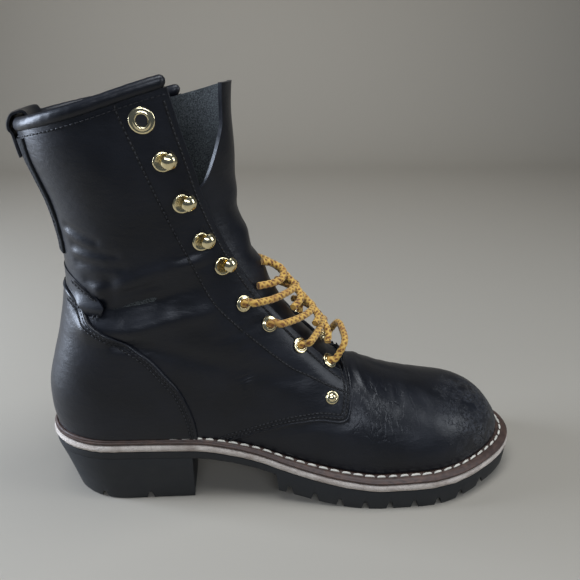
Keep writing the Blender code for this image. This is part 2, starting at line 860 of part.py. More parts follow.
def make_heel(finish):
    """Block under the heel seat, its back sloping in to the ground."""
    breast = float(along(BREAST))
    stations = end_spaced(float(along(0)), breast, 15, True, False)
    top_inset = 0.0006
    vertices = []
    rings = []
    for level in (0.0, 0.06, 1.0):
        inset = HEEL_FLARE_IN * (1 - level) + top_inset + 0.0008 * (level == 0.0)
        back = float(along(0)) + HEEL_SLOPE * (1 - level) ** 0.85 + inset
        ring = []
        for x in stations:
            place = (x - stations[0]) / (breast - stations[0])
            x_here = back + place * (breast - back)
            reference = float(along(0)) + inset + place * (breast - float(along(0)) - inset)
            top = platform(x_here) - SHANK - GAP
            z = level * top
            ring.append((x_here, reference, float(z), inset))
        rings.append(ring)
    index = []
    for ring in rings:
        lateral = []
        medial = []
        for x, reference, z, inset in ring:
            y_lateral = float(sole_edge(reference, LATERAL, inset))
            y_medial = float(sole_edge(reference, MEDIAL, inset))
            lateral.append(len(vertices))
            vertices.append((x, y_lateral, z))
            if abs(y_medial - y_lateral) < GAP:
                medial.append(lateral[-1])
            else:
                medial.append(len(vertices))
                vertices.append((x, y_medial, z))
        index.append((lateral, medial))
    faces = []
    count = len(stations)
    for (low_l, low_m), (high_l, high_m) in zip(index[:-1], index[1:]):
        for place in range(count - 1):
            faces.append([low_l[place], low_l[place + 1], high_l[place + 1], high_l[place]])
            faces.append([low_m[place + 1], low_m[place], high_m[place], high_m[place + 1]])
        faces.append([low_l[-1], low_m[-1], high_m[-1], high_l[-1]])
    for (lateral, medial), flip in ((index[0], False), (index[-1], True)):
        for place in range(count - 1):
            cap = [lateral[place], medial[place], medial[place + 1], lateral[place + 1]]
            faces.append(cap[::-1] if flip else cap)
    faces = [list(dict.fromkeys(face)) for face in faces]
    heel = add_object("heel", vertices, [face for face in faces if len(face) >= 3], finish)
    cut(heel, joined_cutter("heel_cutter", [notch(float(along(share)), 0.0) for share in HEEL_NOTCHES]))
    return heel


def make_midsole(finish):
    stations = end_spaced(float(along(0)), float(along(1)), SOLE_STATIONS, True, True)
    middle = MIDSOLE / 2
    return layer("midsole", stations, (0.0, -0.0006, 0.0),
                 (platform, lambda x: platform(x) + middle, midsole_top), finish)


def make_welt(finish):
    """Strip round the edge under the upper, open inside for the insole."""
    stations = end_spaced(float(along(0)), float(along(1)), SOLE_STATIONS, True, True)
    loops = []
    vertices = []
    inner_drop = WALL + 0.0006
    for kind in ("outer", "inner"):
        points = []
        for side, order in ((LATERAL, 1), (MEDIAL, -1)):
            for x in stations[::order]:
                inset = 0.0004 if kind == "outer" else float(show_of(x)) + inner_drop
                share = (x - stations[0]) / (stations[-1] - stations[0])
                back = float(along(0)) + (inset if kind == "outer" else inset + 0.0012)
                tip = float(along(1)) - inset
                x_here = back + share * (tip - back)
                points.append((x_here, float(sole_edge(x_here, side, inset))))
        clean = []
        for place, point in enumerate(points):
            if place in (len(stations), 2 * len(stations) - 1):
                continue
            clean.append(point)
        loops.append(clean)
    count = len(loops[0])
    for loop in loops:
        for height in (welt_low, welt_top):
            vertices.extend((x, y, float(height(x))) for x, y in loop)
    faces = []
    for place in range(count):
        after = (place + 1) % count
        outer_low, outer_high, inner_low, inner_high = (block * count for block in range(4))
        faces.append([outer_low + place, outer_low + after, outer_high + after, outer_high + place])
        faces.append([inner_low + after, inner_low + place, inner_high + place, inner_high + after])
        faces.append([outer_high + place, outer_high + after, inner_high + after, inner_high + place])
        faces.append([inner_low + place, inner_low + after, outer_low + after, outer_low + place])
    return add_object("welt", vertices, faces, finish)


def make_insole(finish):
    """Board inside the upper, down through the welt to the midsole."""
    clear = WALL + 0.0012
    back = float(leg_back(seat())) + clear + 0.0006
    tip = float(FRONT_X[-1]) - clear - 0.0006
    stations = end_spaced(back, tip, 26, True, True)
    vertices = []
    rings = []
    for lift in (GAP, INSOLE):
        lateral = []
        medial = []
        for x in stations:
            z = float(midsole_top(x)) + lift
            ends = rounded((x - back) / HEEL_ROUND) * rounded((tip - x) / (TOE_ROUND * 0.92))
            lateral.append(len(vertices))
            y_lateral = spine(x) - (reach(x, LATERAL) - show_of(x) - clear - 0.0004) * ends
            vertices.append((x, float(y_lateral), z))
            if ends < 0.001:
                medial.append(lateral[-1])
                continue
            medial.append(len(vertices))
            y_medial = spine(x) + (reach(x, MEDIAL) - show_of(x) - clear - 0.0004) * ends
            vertices.append((x, float(y_medial), z))
        rings.append((lateral, medial))
    (low_l, low_m), (high_l, high_m) = rings
    faces = []
    for place in range(len(stations) - 1):
        after = place + 1
        faces.append([low_l[place], low_l[after], high_l[after], high_l[place]])
        faces.append([low_m[after], low_m[place], high_m[place], high_m[after]])
        faces.append([low_l[place], low_m[place], low_m[after], low_l[after]])
        faces.append([high_l[after], high_m[after], high_m[place], high_l[place]])
    faces = [list(dict.fromkeys(face)) for face in faces]
    return add_object("insole", vertices, [face for face in faces if len(face) >= 3], finish)


# Overlays, cut from a band of the form just outside the upper

OUTSIDE = 0.080


def band(name, far_low, far_high, low, high, finish):
    """Offset band of the form round the heel, to be cut to an overlay's outline."""
    rows = np.flatnonzero((FORM_FAR >= far_low) & (FORM_FAR <= far_high))
    chosen = faces_where(lambda side, row, column: rows[0] <= row < rows[-1] and column < QUARTER_COLUMNS)
    return shell(name, chosen, high, low, finish)


def edge_points(source, count):
    """Side-view points along an overlay's edge."""
    knots = np.arange(len(source["along"]))
    places = np.linspace(0, knots[-1], count)
    x = along(smooth(knots, source["along"], places))
    z = height_of(smooth(knots, source["up"], places))
    return list(zip(x, z))


def make_counter(finish):
    counter = band("counter", 0.0, 0.72, GAP, GAP + OVERLAY, finish)
    top = edge_points(COUNTER, 26)
    below = float(height_of(-0.30))
    corners = [(top[0][0], below)] + top + [(top[-1][0], below)]
    cut(counter, prism("counter_outline", corners, "y", -OUTSIDE, OUTSIDE), "INTERSECT")
    return counter


def make_ankle_band(finish):
    strap = band("ankle_band", 0.0, 0.60, GAP, GAP + OVERLAY, finish)
    top = edge_points(ANKLE_BAND, 16)
    lower = [(x, z + 2 * GAP) for x, z in edge_points(COUNTER, 26) if x < top[-1][0]]
    cut(strap, prism("ankle_band_outline", top + lower[::-1], "y", -OUTSIDE, OUTSIDE), "INTERSECT")
    return strap


def make_backstay(finish):
    """Strip up the back seam from the ankle band to the rim, wider towards the top."""
    strip = band("backstay", 0.0, 0.40, GAP, GAP + OVERLAY, finish)
    foot = float(height_of(ANKLE_BAND["up"][0])) + 2 * GAP
    rim = float(rim_height(leg_back(height_of(COLLAR_BACK_UP)), LATERAL)) - GAP
    corners = ((-BACKSTAY_FOOT / 2, foot), (BACKSTAY_FOOT / 2, foot),
               (BACKSTAY_TOP / 2, rim), (-BACKSTAY_TOP / 2, rim))
    middle = float(leg_back(height_of(0.5))) + 0.03
    cut(strip, prism("backstay_outline", corners, "x", -OUTSIDE, middle), "INTERSECT")
    return strip


def make_collar_roll(finish):
    """Rolled binding on the rim, from one throat corner round the back to the other."""
    lateral = [FORM_INDEX[0, 0, column] for column in range(QUARTER_COLUMNS, -1, -1)]
    medial = [FORM_INDEX[1, 0, column] for column in range(1, QUARTER_COLUMNS + 1)]
    sides = 8
    vertices = []
    loops = []
    for corner in lateral + medial:
        normal = FORM_NORMALS[corner].copy()
        normal[2] = 0
        normal /= np.linalg.norm(normal)
        centre = FORM_POINTS[corner] - normal * WALL / 2
        centre[2] = rim_height(centre[0], FORM_SIDES[corner]) + 1.5 * GAP + COLLAR_ROLL_HEIGHT / 2
        normal[2] = normal[0] * rim_slope()
        loop = []
        for number in range(sides):
            turn = 2 * math.pi * (number + 0.5) / sides
            across = normal * math.cos(turn) * COLLAR_ROLL_WIDTH / 2 * 1.06
            upright = np.array((0, 0, math.sin(turn) * COLLAR_ROLL_HEIGHT / 2 / math.sin(math.pi * 0.375)))
            loop.append(len(vertices))
            vertices.append(centre + across + upright)
        loops.append(loop)
    faces = [loops[0][::-1], loops[-1]]
    for before, after in zip(loops[:-1], loops[1:]):
        for number in range(sides):
            later = (number + 1) % sides
            faces.append([before[number], before[later], after[later], after[number]])
    return add_object("collar_roll", vertices, faces, finish)


def back_at(y, z):
    """X of the leg's back face at a distance from the seam."""
    share = min(abs(y) / float(leg_width(z)), 0.999)
    depth = 1 - (1 - share ** ROUND_POWER) ** (1 / ROUND_POWER)
    return float(leg_back(z)) + depth * LEG_ROUND * SOLE_LENGTH


def make_pull_loop(finish):
    """Strap sewn outside the backstay, folded over the collar and sewn inside."""
    outer = 2 * GAP + OVERLAY + PULL_LOOP_THICK / 2
    inner = -WALL - 2 * GAP - PULL_LOOP_THICK / 2
    side = COLLAR_ROLL_WIDTH * 0.53 + 4 * GAP + PULL_LOOP_THICK / 2
    middle = -WALL / 2
    top = COLLAR_ROLL_HEIGHT + 3 * GAP + PULL_LOOP_THICK / 2
    roll = COLLAR_ROLL_HEIGHT
    path = [(outer, -PULL_LOOP_DROP), (outer, -0.25 * roll), (middle + side, 0.2 * roll),
            (middle + side, 0.68 * roll), (middle + 0.60 * side, 0.95 * top), (middle, top),
            (middle - 0.60 * side, 0.95 * top), (middle - side, 0.68 * roll),
            (middle - side, 0.2 * roll), (inner, -0.25 * roll), (inner, -PULL_LOOP_DROP)]
    path = np.array(path)
    heading = np.gradient(path, axis=0)
    heading /= np.linalg.norm(heading, axis=1)[:, None]
    left = np.column_stack((-heading[:, 1], heading[:, 0])) * PULL_LOOP_THICK / 2
    profile = np.vstack((path + left, (path - left)[::-1]))
    vertices = []
    stations = np.linspace(-PULL_LOOP_WIDTH / 2, PULL_LOOP_WIDTH / 2, 7)
    for y in stations:
        for out, up in profile:
            rim = float(rim_height(back_at(y, float(height_of(COLLAR_BACK_UP))), LATERAL))
            level = min(rim + up, rim)
            lean = (back_at(y + GAP, level) - back_at(y - GAP, level)) / (2 * GAP)
            step = out / math.hypot(1.0, lean)
            x = back_at(y, level) - step
            vertices.append((x, y + step * lean, float(rim_height(x, LATERAL)) + up))
    count = len(profile)
    half = len(path)
    faces = []
    for block in range(len(stations) - 1):
        for place in range(count):
            after = (place + 1) % count
            faces.append([block * count + place, (block + 1) * count + place,
                          (block + 1) * count + after, block * count + after])
    last = (len(stations) - 1) * count
    for place in range(half - 1):
        across = count - 1 - place
        faces.append([place, place + 1, across - 1, across])
        faces.append([last + across, last + across - 1, last + place + 1, last + place])
    return add_object("pull_loop", vertices, faces, finish)


# Hardware on the facings

TURN_SIDES = 8
TOP_EYELET_SCALE = 1.18
EYELET_FLANGE = 0.0012
HOOK_BASE = 0.0011
HOOK_WIDTH = 0.0062
HOOK_HEIGHT = 0.0072
HOOK_PLATE = 0.0013
RIVET_HEIGHT = 0.0023


def turned(name, profile, closed_ring, place, finish):
    """Profile of (radius, height) turned about its axis, seated on the upper."""
    vertices = []
    faces = []
    loops = []
    for radius, height in profile:
        if radius < GAP:
            loops.append([len(vertices)])
            vertices.append((0.0, 0.0, height))
            continue
        loops.append(list(range(len(vertices), len(vertices) + TURN_SIDES)))
        for number in range(TURN_SIDES):
            turn = 2 * math.pi * number / TURN_SIDES
            vertices.append((radius * math.cos(turn), radius * math.sin(turn), height))
    pairs = list(zip(loops[:-1], loops[1:]))
    if closed_ring:
        pairs.append((loops[-1], loops[0]))
    for low, high in pairs:
        for number in range(TURN_SIDES):
            later = (number + 1) % TURN_SIDES
            face = [low[number % len(low)], low[later % len(low)],
                    high[later % len(high)], high[number % len(high)]]
            faces.append(list(dict.fromkeys(face)))
    made = add_object(name, vertices, faces, finish)
    made.matrix_world = place
    return made


def seat_on(x, z, side):
    """Placement on the upper's flat face: local Z outward, local X away from the throat."""
    point, normal, _, _ = FORM_TREE.ray_cast(Vector((x, side * OUTSIDE, z)), Vector((0.0, -side, 0.0)))
    if normal.y * side < 0:
        normal = -normal
    away = Vector((-0.90, 0.0, -0.30))
    away = (away - normal * away.dot(normal)).normalized()
    across = normal.cross(away)
    return Matrix.Translation(point) @ Matrix((away, across, normal)).transposed().to_4x4()


def facing_places(side):
    """Places up one facing: the inner one follows its sagging rim."""
    for number in range(len(FACING["along"])):
        x = float(along(FACING["along"][number]))
        up = float(FACING["up"][number])
        share = step_between(FACING_BEND, 1.0, up) * (side == MEDIAL)
        yield number, x, float(height_of(up)) + float(rim_bend(x, side)) * share, FACING["hook"][number] > 0.5


def lace_end(number, side):
    """Start of a lace over the flange of one of the lower eyelets."""
    x = float(along(FACING["along"][number - 1]))
    z = float(height_of(FACING["up"][number - 1]))
    place = seat_on(x, z, side)
    return place.translation + place.col[2].xyz * (2 * GAP + EYELET_FLANGE + LACE_DIAMETER / 2)


def make_eyelet(name, place, scale, finish):
    bore = EYELET_BORE * scale
    radius = EYELET_RADIUS * scale
    wall = bore + EYELET_HOLE_WALL
    back = -WALL - GAP
    profile = ((bore, back), (wall, back), (wall, GAP), (radius, GAP), (radius, GAP + 0.4 * EYELET_FLANGE),
               (0.55 * (radius + bore), GAP + EYELET_FLANGE), (bore, GAP + 0.6 * EYELET_FLANGE))
    return turned(name, profile, True, place, finish)


def make_hook(name, place, finish):
    """Disc base with a claw that curls over it away from the throat."""
    low = 1.6 * GAP
    base = ((0.0, low), (HOOK_RADIUS, low), (HOOK_RADIUS, low + 0.6 * HOOK_BASE),
            (0.85 * HOOK_RADIUS, low + HOOK_BASE), (0.0, low + HOOK_BASE))
    made = turned(name, base, False, place, finish)
    foot = low + 0.5 * HOOK_BASE
    plate = HOOK_PLATE
    outside = ((-0.80, foot), (-0.90, 0.45 * HOOK_HEIGHT), (-0.62, 0.84 * HOOK_HEIGHT), (0.0, HOOK_HEIGHT),
               (0.58, 0.90 * HOOK_HEIGHT))
    corners = [(u * HOOK_RADIUS, height) for u, height in outside]
    corners += [(0.56 * HOOK_RADIUS, 0.90 * HOOK_HEIGHT - plate), (0.0, HOOK_HEIGHT - plate),
                (-0.62 * HOOK_RADIUS + 0.7 * plate, 0.84 * HOOK_HEIGHT - 0.8 * plate),
                (-0.90 * HOOK_RADIUS + plate, 0.45 * HOOK_HEIGHT), (-0.80 * HOOK_RADIUS + plate, foot)]
    claw = prism(name + "_claw", corners, "y", -HOOK_WIDTH / 2, HOOK_WIDTH / 2)
    claw.matrix_world = place
    cut(made, claw, "UNION")
    return made


def make_rivet(name, place, finish):
    dome = ((0.0, GAP), (RIVET_RADIUS, GAP), (RIVET_RADIUS, GAP + 0.35 * RIVET_HEIGHT),
            (0.75 * RIVET_RADIUS, GAP + 0.75 * RIVET_HEIGHT),
            (0.40 * RIVET_RADIUS, GAP + 0.95 * RIVET_HEIGHT), (0.0, GAP + RIVET_HEIGHT))
    return turned(name, dome, False, place, finish)


def make_hardware(upper, brass):
    """Eyelets in their holes, hooks and rivets, on both facings."""
    holes = []
    for side, label in ((LATERAL, "lateral"), (MEDIAL, "medial")):
        eyelets = 0
        hooks = 0
        for number, x, z, is_hook in facing_places(side):
            place = seat_on(x, z, side)
            if is_hook:
                hooks += 1
                make_hook(f"hook_{label}_{hooks}", place, brass)
                continue
            eyelets += 1
            scale = TOP_EYELET_SCALE if number == len(FACING["along"]) - 1 else 1.0
            make_eyelet(f"eyelet_{label}_{eyelets}", place, scale, brass)
            radius = EYELET_BORE * scale + EYELET_HOLE_WALL + GAP
            corners = [(radius * math.cos(2 * math.pi * turn / TURN_SIDES),
                        radius * math.sin(2 * math.pi * turn / TURN_SIDES)) for turn in range(TURN_SIDES)]
            hole = prism("hole", corners, "z", -2 * WALL, WALL)
            hole.data.transform(place)
            holes.append(hole)
        rivet = seat_on(float(along(RIVET_ALONG)), float(height_of(RIVET_UP)), side)
        make_rivet(f"rivet_{label}", rivet, brass)
    cut(upper, joined_cutter("eyelet_holes", holes))


# Lace from the lower four eyelets: loose crossings, metres from the heel's back, the inner side and the floor

LACE_SIDES = 6
LACE_STATIONS = 9
CROSSINGS = {
    2: (
        ((0.166, -0.029, 0.1085), (0.172, -0.017, 0.1100), (0.1765, -0.002, 0.1105),
         (0.1790, 0.009, 0.1060), (0.1770, 0.0165, 0.1020)),
        ((0.165, 0.023, 0.1125), (0.172, 0.010, 0.1135), (0.1765, -0.002, 0.1105),
         (0.1790, -0.012, 0.1060), (0.1780, -0.0170, 0.1020)),
    ),
    3: (
        ((0.149, -0.030, 0.1215), (0.162, -0.018, 0.1205), (0.170, -0.003, 0.1200),
         (0.1665, 0.007, 0.1205), (0.1590, 0.0170, 0.1180)),
        ((0.149, 0.024, 0.1275), (0.161, 0.012, 0.1260), (0.170, -0.003, 0.1200),
         (0.1725, -0.0105, 0.1165), (0.1700, -0.0160, 0.1145)),
    ),
    4: (
        ((0.133, -0.033, 0.1365), (0.146, -0.022, 0.1350), (0.159, -0.003, 0.1345),
         (0.1555, 0.007, 0.1345), (0.1480, 0.0175, 0.1315)),
        ((0.134, 0.0265, 0.1445), (0.147, 0.010, 0.1440), (0.159, -0.003, 0.1345),
         (0.1610, -0.0125, 0.1300), (0.1560, -0.0200, 0.1275)),
    ),
}
LACE_BAR = ((0.1890, -0.016, 0.1010), (0.1895, -0.003, 0.1035), (0.1880, 0.010, 0.1030))
LACE_LOOP = ((0.1350, -0.0227, 0.1430), (0.1434, -0.0181, 0.1428), (0.1495, -0.0126, 0.1435),
             (0.1505, -0.0070, 0.1470), (0.1450, -0.0040, 0.1500), (0.1380, -0.0060, 0.1525))


def from_heel_back(points):
    return [Vector((HEEL_BACK + x, y, z)) for x, y, z in points]


def rope_points(points, count):
    """Even points along a smooth curve through the chosen ones."""
    points = np.array([tuple(point) for point in points])
    knots = np.concatenate(([0.0], np.cumsum(np.linalg.norm(np.diff(points, axis=0), axis=1))))
    padded = np.vstack((2 * points[0] - points[1], points, 2 * points[-1] - points[-2]))
    made = []
    for at in np.linspace(0, knots[-1], count):
        cell = min(int(np.searchsorted(knots, at, side="right")) - 1, len(points) - 2)
        t = (at - knots[cell]) / (knots[cell + 1] - knots[cell])
        before, start, end, after = padded[cell:cell + 4]
        made.append(0.5 * (2 * start + (end - before) * t + (2 * before - 5 * start + 4 * end - after) * t * t
                           + (3 * start - before - 3 * end + after) * t ** 3))
    return np.array(made)


def rope(name, points, finish):
    """Round rope along a curve."""
    centres = rope_points(points, LACE_STATIONS)
    heading = np.gradient(centres, axis=0)
    heading /= np.linalg.norm(heading, axis=1)[:, None]
    aside = np.cross(heading[0], (0.0, 0.0, 1.0))
    vertices = []
    loops = []
    for centre, along_rope in zip(centres, heading):
        aside = aside - along_rope * np.dot(aside, along_rope)
        aside /= np.linalg.norm(aside)
        over = np.cross(along_rope, aside)
        loop = []
        for number in range(LACE_SIDES):
            turn = 2 * math.pi * number / LACE_SIDES
            loop.append(len(vertices))
            vertices.append(centre + (aside * math.cos(turn) + over * math.sin(turn)) * LACE_DIAMETER / 2)
        loops.append(loop)
    faces = [loops[0][::-1], loops[-1]]
    for before, after in zip(loops[:-1], loops[1:]):
        for number in range(LACE_SIDES):
            later = (number + 1) % LACE_SIDES
            faces.append([before[number], before[later], after[later], after[number]])
    return add_object(name, vertices, faces, finish)


def make_lace(finish):
    for number, (one, other) in CROSSINGS.items():
        name = f"lace_crossing_{number}"
        made = rope(name, [lace_end(number, LATERAL)] + from_heel_back(one), finish)
        crossed = rope(name + "_other", [lace_end(number, MEDIAL)] + from_heel_back(other), finish)
        crossed.hide_render = True
        crossed.display_type = "WIRE"
        cut(made, crossed, "UNION")
    rope("lace_bar_1", [lace_end(1, LATERAL)] + from_heel_back(LACE_BAR) + [lace_end(1, MEDIAL)], finish)
    rope("lace_loop", from_heel_back(LACE_LOOP), finish)


def clear_scene():
    for item in list(bpy.data.objects):
        bpy.data.objects.remove(item, do_unlink=True)


def main():
    clear_scene()
    leather = material("black_leather", (0.012, 0.012, 0.014), 0.42)
    rubber = material("black_rubber", (0.014, 0.014, 0.015), 0.75)
    crepe = material("off_white_midsole", (0.62, 0.58, 0.50), 0.80)
    brown = material("brown_welt", (0.10, 0.045, 0.028), 0.60)
    brass = material("pale_brass", (0.78, 0.66, 0.42), 0.25, 1.0)
    rope_yarn = material("yellow_lace", (0.62, 0.40, 0.10), 0.85)
    board = material("tan_insole", (0.32, 0.22, 0.14), 0.80)
    make_outsole(rubber)
    make_heel(rubber)
    make_midsole(crepe)
    make_welt(brown)
    make_insole(board)
    upper = make_upper(leather)
    make_tongue(leather)
    make_counter(leather)
    make_ankle_band(leather)
    make_backstay(leather)
    make_collar_roll(leather)
    make_pull_loop(leather)
    make_hardware(upper, brass)
    make_lace(rope_yarn)


main()
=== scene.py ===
"""Looks of the logger boot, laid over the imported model. Metres, +X to the toe, +Y to the inner side."""
import math

import bmesh
import bpy
import numpy as np
from mathutils import Matrix, Vector


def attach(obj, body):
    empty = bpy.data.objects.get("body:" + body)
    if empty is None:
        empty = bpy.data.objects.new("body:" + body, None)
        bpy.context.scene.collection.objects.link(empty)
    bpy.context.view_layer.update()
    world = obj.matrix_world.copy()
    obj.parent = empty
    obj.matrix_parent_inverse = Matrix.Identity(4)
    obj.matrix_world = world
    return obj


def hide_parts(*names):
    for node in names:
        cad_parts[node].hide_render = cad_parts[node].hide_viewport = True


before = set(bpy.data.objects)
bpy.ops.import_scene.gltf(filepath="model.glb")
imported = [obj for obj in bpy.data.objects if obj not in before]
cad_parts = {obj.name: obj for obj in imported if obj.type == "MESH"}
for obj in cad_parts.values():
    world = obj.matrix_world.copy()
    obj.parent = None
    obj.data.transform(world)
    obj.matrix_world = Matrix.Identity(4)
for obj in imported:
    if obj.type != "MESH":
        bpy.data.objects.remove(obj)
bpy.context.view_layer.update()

MM = 0.001
rng = np.random.default_rng(7)

# Camera and light

CAMERA_PLACE = Vector((0.0759, -0.3791, 0.2839))
VIEW_LINE = Vector((0.0711, 0.9034, -0.4229)).normalized()
ROLL = math.radians(0.40)
LENS = 40.35
SHIFT_UP = 0.0605


def make_camera():
    lens = bpy.data.cameras.new("camera")
    lens.lens = LENS
    lens.sensor_width = 36.0
    lens.shift_y = SHIFT_UP
    lens.clip_start = 0.01
    camera = bpy.data.objects.new("camera", lens)
    right = VIEW_LINE.cross(Vector((0, 0, 1))).normalized()
    up = right.cross(VIEW_LINE)
    rolled = right * math.cos(ROLL) + up * math.sin(ROLL)
    upright = up * math.cos(ROLL) - right * math.sin(ROLL)
    turn = Matrix((rolled, upright, -VIEW_LINE)).transposed()
    camera.matrix_world = Matrix.Translation(CAMERA_PLACE) @ turn.to_4x4()
    bpy.context.scene.collection.objects.link(camera)
    bpy.context.scene.camera = camera


def area_light(name, place, target, size, power, colour):
    lamp = bpy.data.lights.new(name, "AREA")
    lamp.shape = "RECTANGLE"
    lamp.size, lamp.size_y = size
    lamp.energy = power
    lamp.color = colour
    made = bpy.data.objects.new(name, lamp)
    aim = (Vector(target) - Vector(place)).to_track_quat("-Z", "Y")
    made.matrix_world = Matrix.Translation(Vector(place)) @ aim.to_matrix().to_4x4()
    bpy.context.scene.collection.objects.link(made)


make_camera()
area_light("top_soft", (0.14, -0.08, 1.00), (0.10, 0.0, 0.06), (0.9, 0.28), 7.0, (0.88, 0.93, 1.0))
area_light("left_soft", (-0.85, 0.08, 0.36), (0.0, 0.0, 0.12), (0.32, 0.60), 16.0, (0.72, 0.82, 1.0))
area_light("right_soft", (0.95, -0.30, 0.55), (0.15, 0.0, 0.08), (0.30, 0.6), 3.0, (0.86, 0.92, 1.0))
area_light("front_soft", (0.14, -1.10, 0.72), (0.08, 0.0, 0.12), (0.9, 0.12), 5.5, (0.80, 0.87, 1.0))
area_light("back_soft", (0.10, 0.55, 0.90), (0.10, 1.35, 0.55), (1.2, 0.3), 3.5, (1.0, 0.97, 0.92))


# Sizes and tables of the form, as in the part's source

SOLE_LENGTH = 0.312
BALL_WIDTH = 0.1045
HEEL_REST = 0.050
HEEL_HEIGHT = 0.0385
FOREPART = 0.0136
TOE_SPRING = 0.0030
TOE_LIFT = 0.0055
TREAD_ROCKER = 0.0095
SHANK = 0.0055
MIDSOLE = 0.0045
WELT = 0.0034
WELT_MARGIN = 0.0080
INSTEP_RISE = 0.060
LEG_HEIGHT = 0.158
WALL = 0.0023
TONGUE_THICK = 0.0022
TONGUE_GAP = 0.0012
OVERLAY = 0.0012
GAP = 0.0003
HEEL_ROUND = 0.042
TOE_ROUND = 0.066
HEEL_SLOPE = 0.0085
HEEL_FLARE_IN = 0.0022
SIDE_SWELL = 0.0016
COLLAR_ROLL_WIDTH = 0.0058
COLLAR_ROLL_HEIGHT = 0.0068
BACKSTAY_TOP = 0.050
BACKSTAY_FOOT = 0.032
PULL_LOOP_WIDTH = 0.030
PULL_LOOP_THICK = 0.0018
PULL_LOOP_DROP = 0.014
LUG_PITCH = 0.0160
LUG_NOTCH_WIDTH = 0.0060
LUG_NOTCH_DEPTH = 0.0052
CHANNEL_WIDTH = 0.0075
CHANNEL_DEPTH = 0.0045
TOP_EYELET_SCALE = 1.298
LACE_DIAMETER = 0.0042
HEEL_BACK = -HEEL_REST
UPPER_HEIGHT = INSTEP_RISE + LEG_HEIGHT
LATERAL = -1
MEDIAL = 1
BOTH = ((LATERAL, "lateral"), (MEDIAL, "medial"))
ROUND_POWER = 2.1
SECTION_POWER = 2.3
TREAD_START = 0.462
BREAST = 0.292
COLLAR_BACK_UP = 0.832
HEEL_CORNER = 0.380
THROAT_END = 0.590
TONGUE_FOOT = 0.640
RIM_ROWS = 12
WIDEST_SETBACK = 0.42
BUNCH_START = -0.02
BUNCH_END = 0.14
BUNCH_EVEN = 0.12
HAND_OVER_LOW = 0.10
HAND_OVER_HIGH = 0.46
LEG_ROUND = 0.160
UPPER_HEEL_ROUND = 0.132
UPPER_TOE_ROUND = 0.185
SWELL_HEIGHT = 0.016
LUG_COUNT = 9
LUG_FIRST = 0.490
HEEL_NOTCHES = (0.105, 0.200)
FACING_BEND = 0.60
RIVET_ALONG = 0.575
RIVET_UP = 0.110


def table(columns, *rows):
    return dict(zip(columns.split(), np.array(rows, dtype=float).T))


PLAN = table(
    "share lateral medial spine",
    (0.00, 0.355, 0.355, 0.000), (0.15, 0.355, 0.360, 0.000), (0.30, 0.358, 0.335, 0.000),
    (0.42, 0.385, 0.305, 0.010), (0.50, 0.440, 0.320, 0.018), (0.60, 0.505, 0.385, 0.022),
    (0.68, 0.535, 0.440, 0.025), (0.76, 0.530, 0.470, 0.032), (0.84, 0.490, 0.487, 0.045),
    (0.92, 0.430, 0.500, 0.058), (1.00, 0.390, 0.500, 0.065),
)
PLATFORM = table(
    "share heel spring",
    (0.00, 1.08, 0.00), (0.10, 1.02, 0.00), (0.20, 0.99, 0.00), (0.30, 0.95, 0.00), (0.36, 0.84, 0.00),
    (0.42, 0.66, 0.00), (0.48, 0.43, 0.00), (0.55, 0.21, 0.00), (0.62, 0.06, 0.00), (0.68, 0.00, 0.00),
    (0.80, 0.00, 0.15), (0.90, 0.00, 0.55), (1.00, 0.00, 1.00),
)
TREAD = table(
    "share rocker lift",
    (0.45, 1.00, 0.00), (0.50, 0.70, 0.00), (0.55, 0.36, 0.00), (0.60, 0.10, 0.00), (0.64, 0.00, 0.00),
    (0.80, 0.00, 0.00), (0.88, 0.00, 0.42), (0.94, 0.00, 0.78), (1.00, 0.00, 1.00),
)
MARGIN = table("share show", (0.00, 0.32), (0.28, 0.40), (0.45, 0.72), (0.60, 0.95), (1.00, 1.00))
LEG = table(
    "up back width",
    (0.000, 0.0130, 0.345), (0.055, 0.0085, 0.350), (0.110, 0.0100, 0.352), (0.210, 0.0260, 0.345),
    (0.300, 0.0455, 0.334), (0.380, 0.0590, 0.327), (0.470, 0.0665, 0.333), (0.540, 0.0660, 0.345),
    (0.600, 0.0615, 0.360), (0.660, 0.0530, 0.376), (0.720, 0.0400, 0.390), (0.780, 0.0275, 0.400),
    (0.840, 0.0210, 0.408), (0.900, 0.0180, 0.414), (1.000, 0.0150, 0.420),
)
FRONT = table(
    "place along rise leg",
    (0.00, 0.407, 1.00, 1.020), (0.07, 0.404, 1.00, 0.870), (0.14, 0.404, 1.00, 0.715),
    (0.20, 0.410, 1.00, 0.590), (0.25, 0.420, 1.00, 0.495), (0.30, 0.436, 1.00, 0.405),
    (0.35, 0.459, 1.00, 0.320), (0.40, 0.487, 1.00, 0.240), (0.46, 0.524, 1.00, 0.155),
    (0.52, 0.565, 1.00, 0.080), (0.58, 0.603, 1.00, 0.025), (0.62, 0.628, 0.98, 0.000),
    (0.70, 0.712, 0.82, 0.000), (0.78, 0.798, 0.70, 0.000), (0.84, 0.856, 0.625, 0.000),
    (0.88, 0.894, 0.545, 0.000), (0.92, 0.929, 0.425, 0.000), (0.95, 0.953, 0.280, 0.000),
    (0.975, 0.967, 0.130, 0.000), (1.00, 0.971, 0.000, 0.000),
)
RIM = table(
    "run lateral medial",
    (0.00, 0.000, 0.000), (0.30, 0.006, -0.014), (0.68, 0.021, -0.050), (0.82, 0.000, -0.046),
    (1.00, -0.038, -0.038),
)
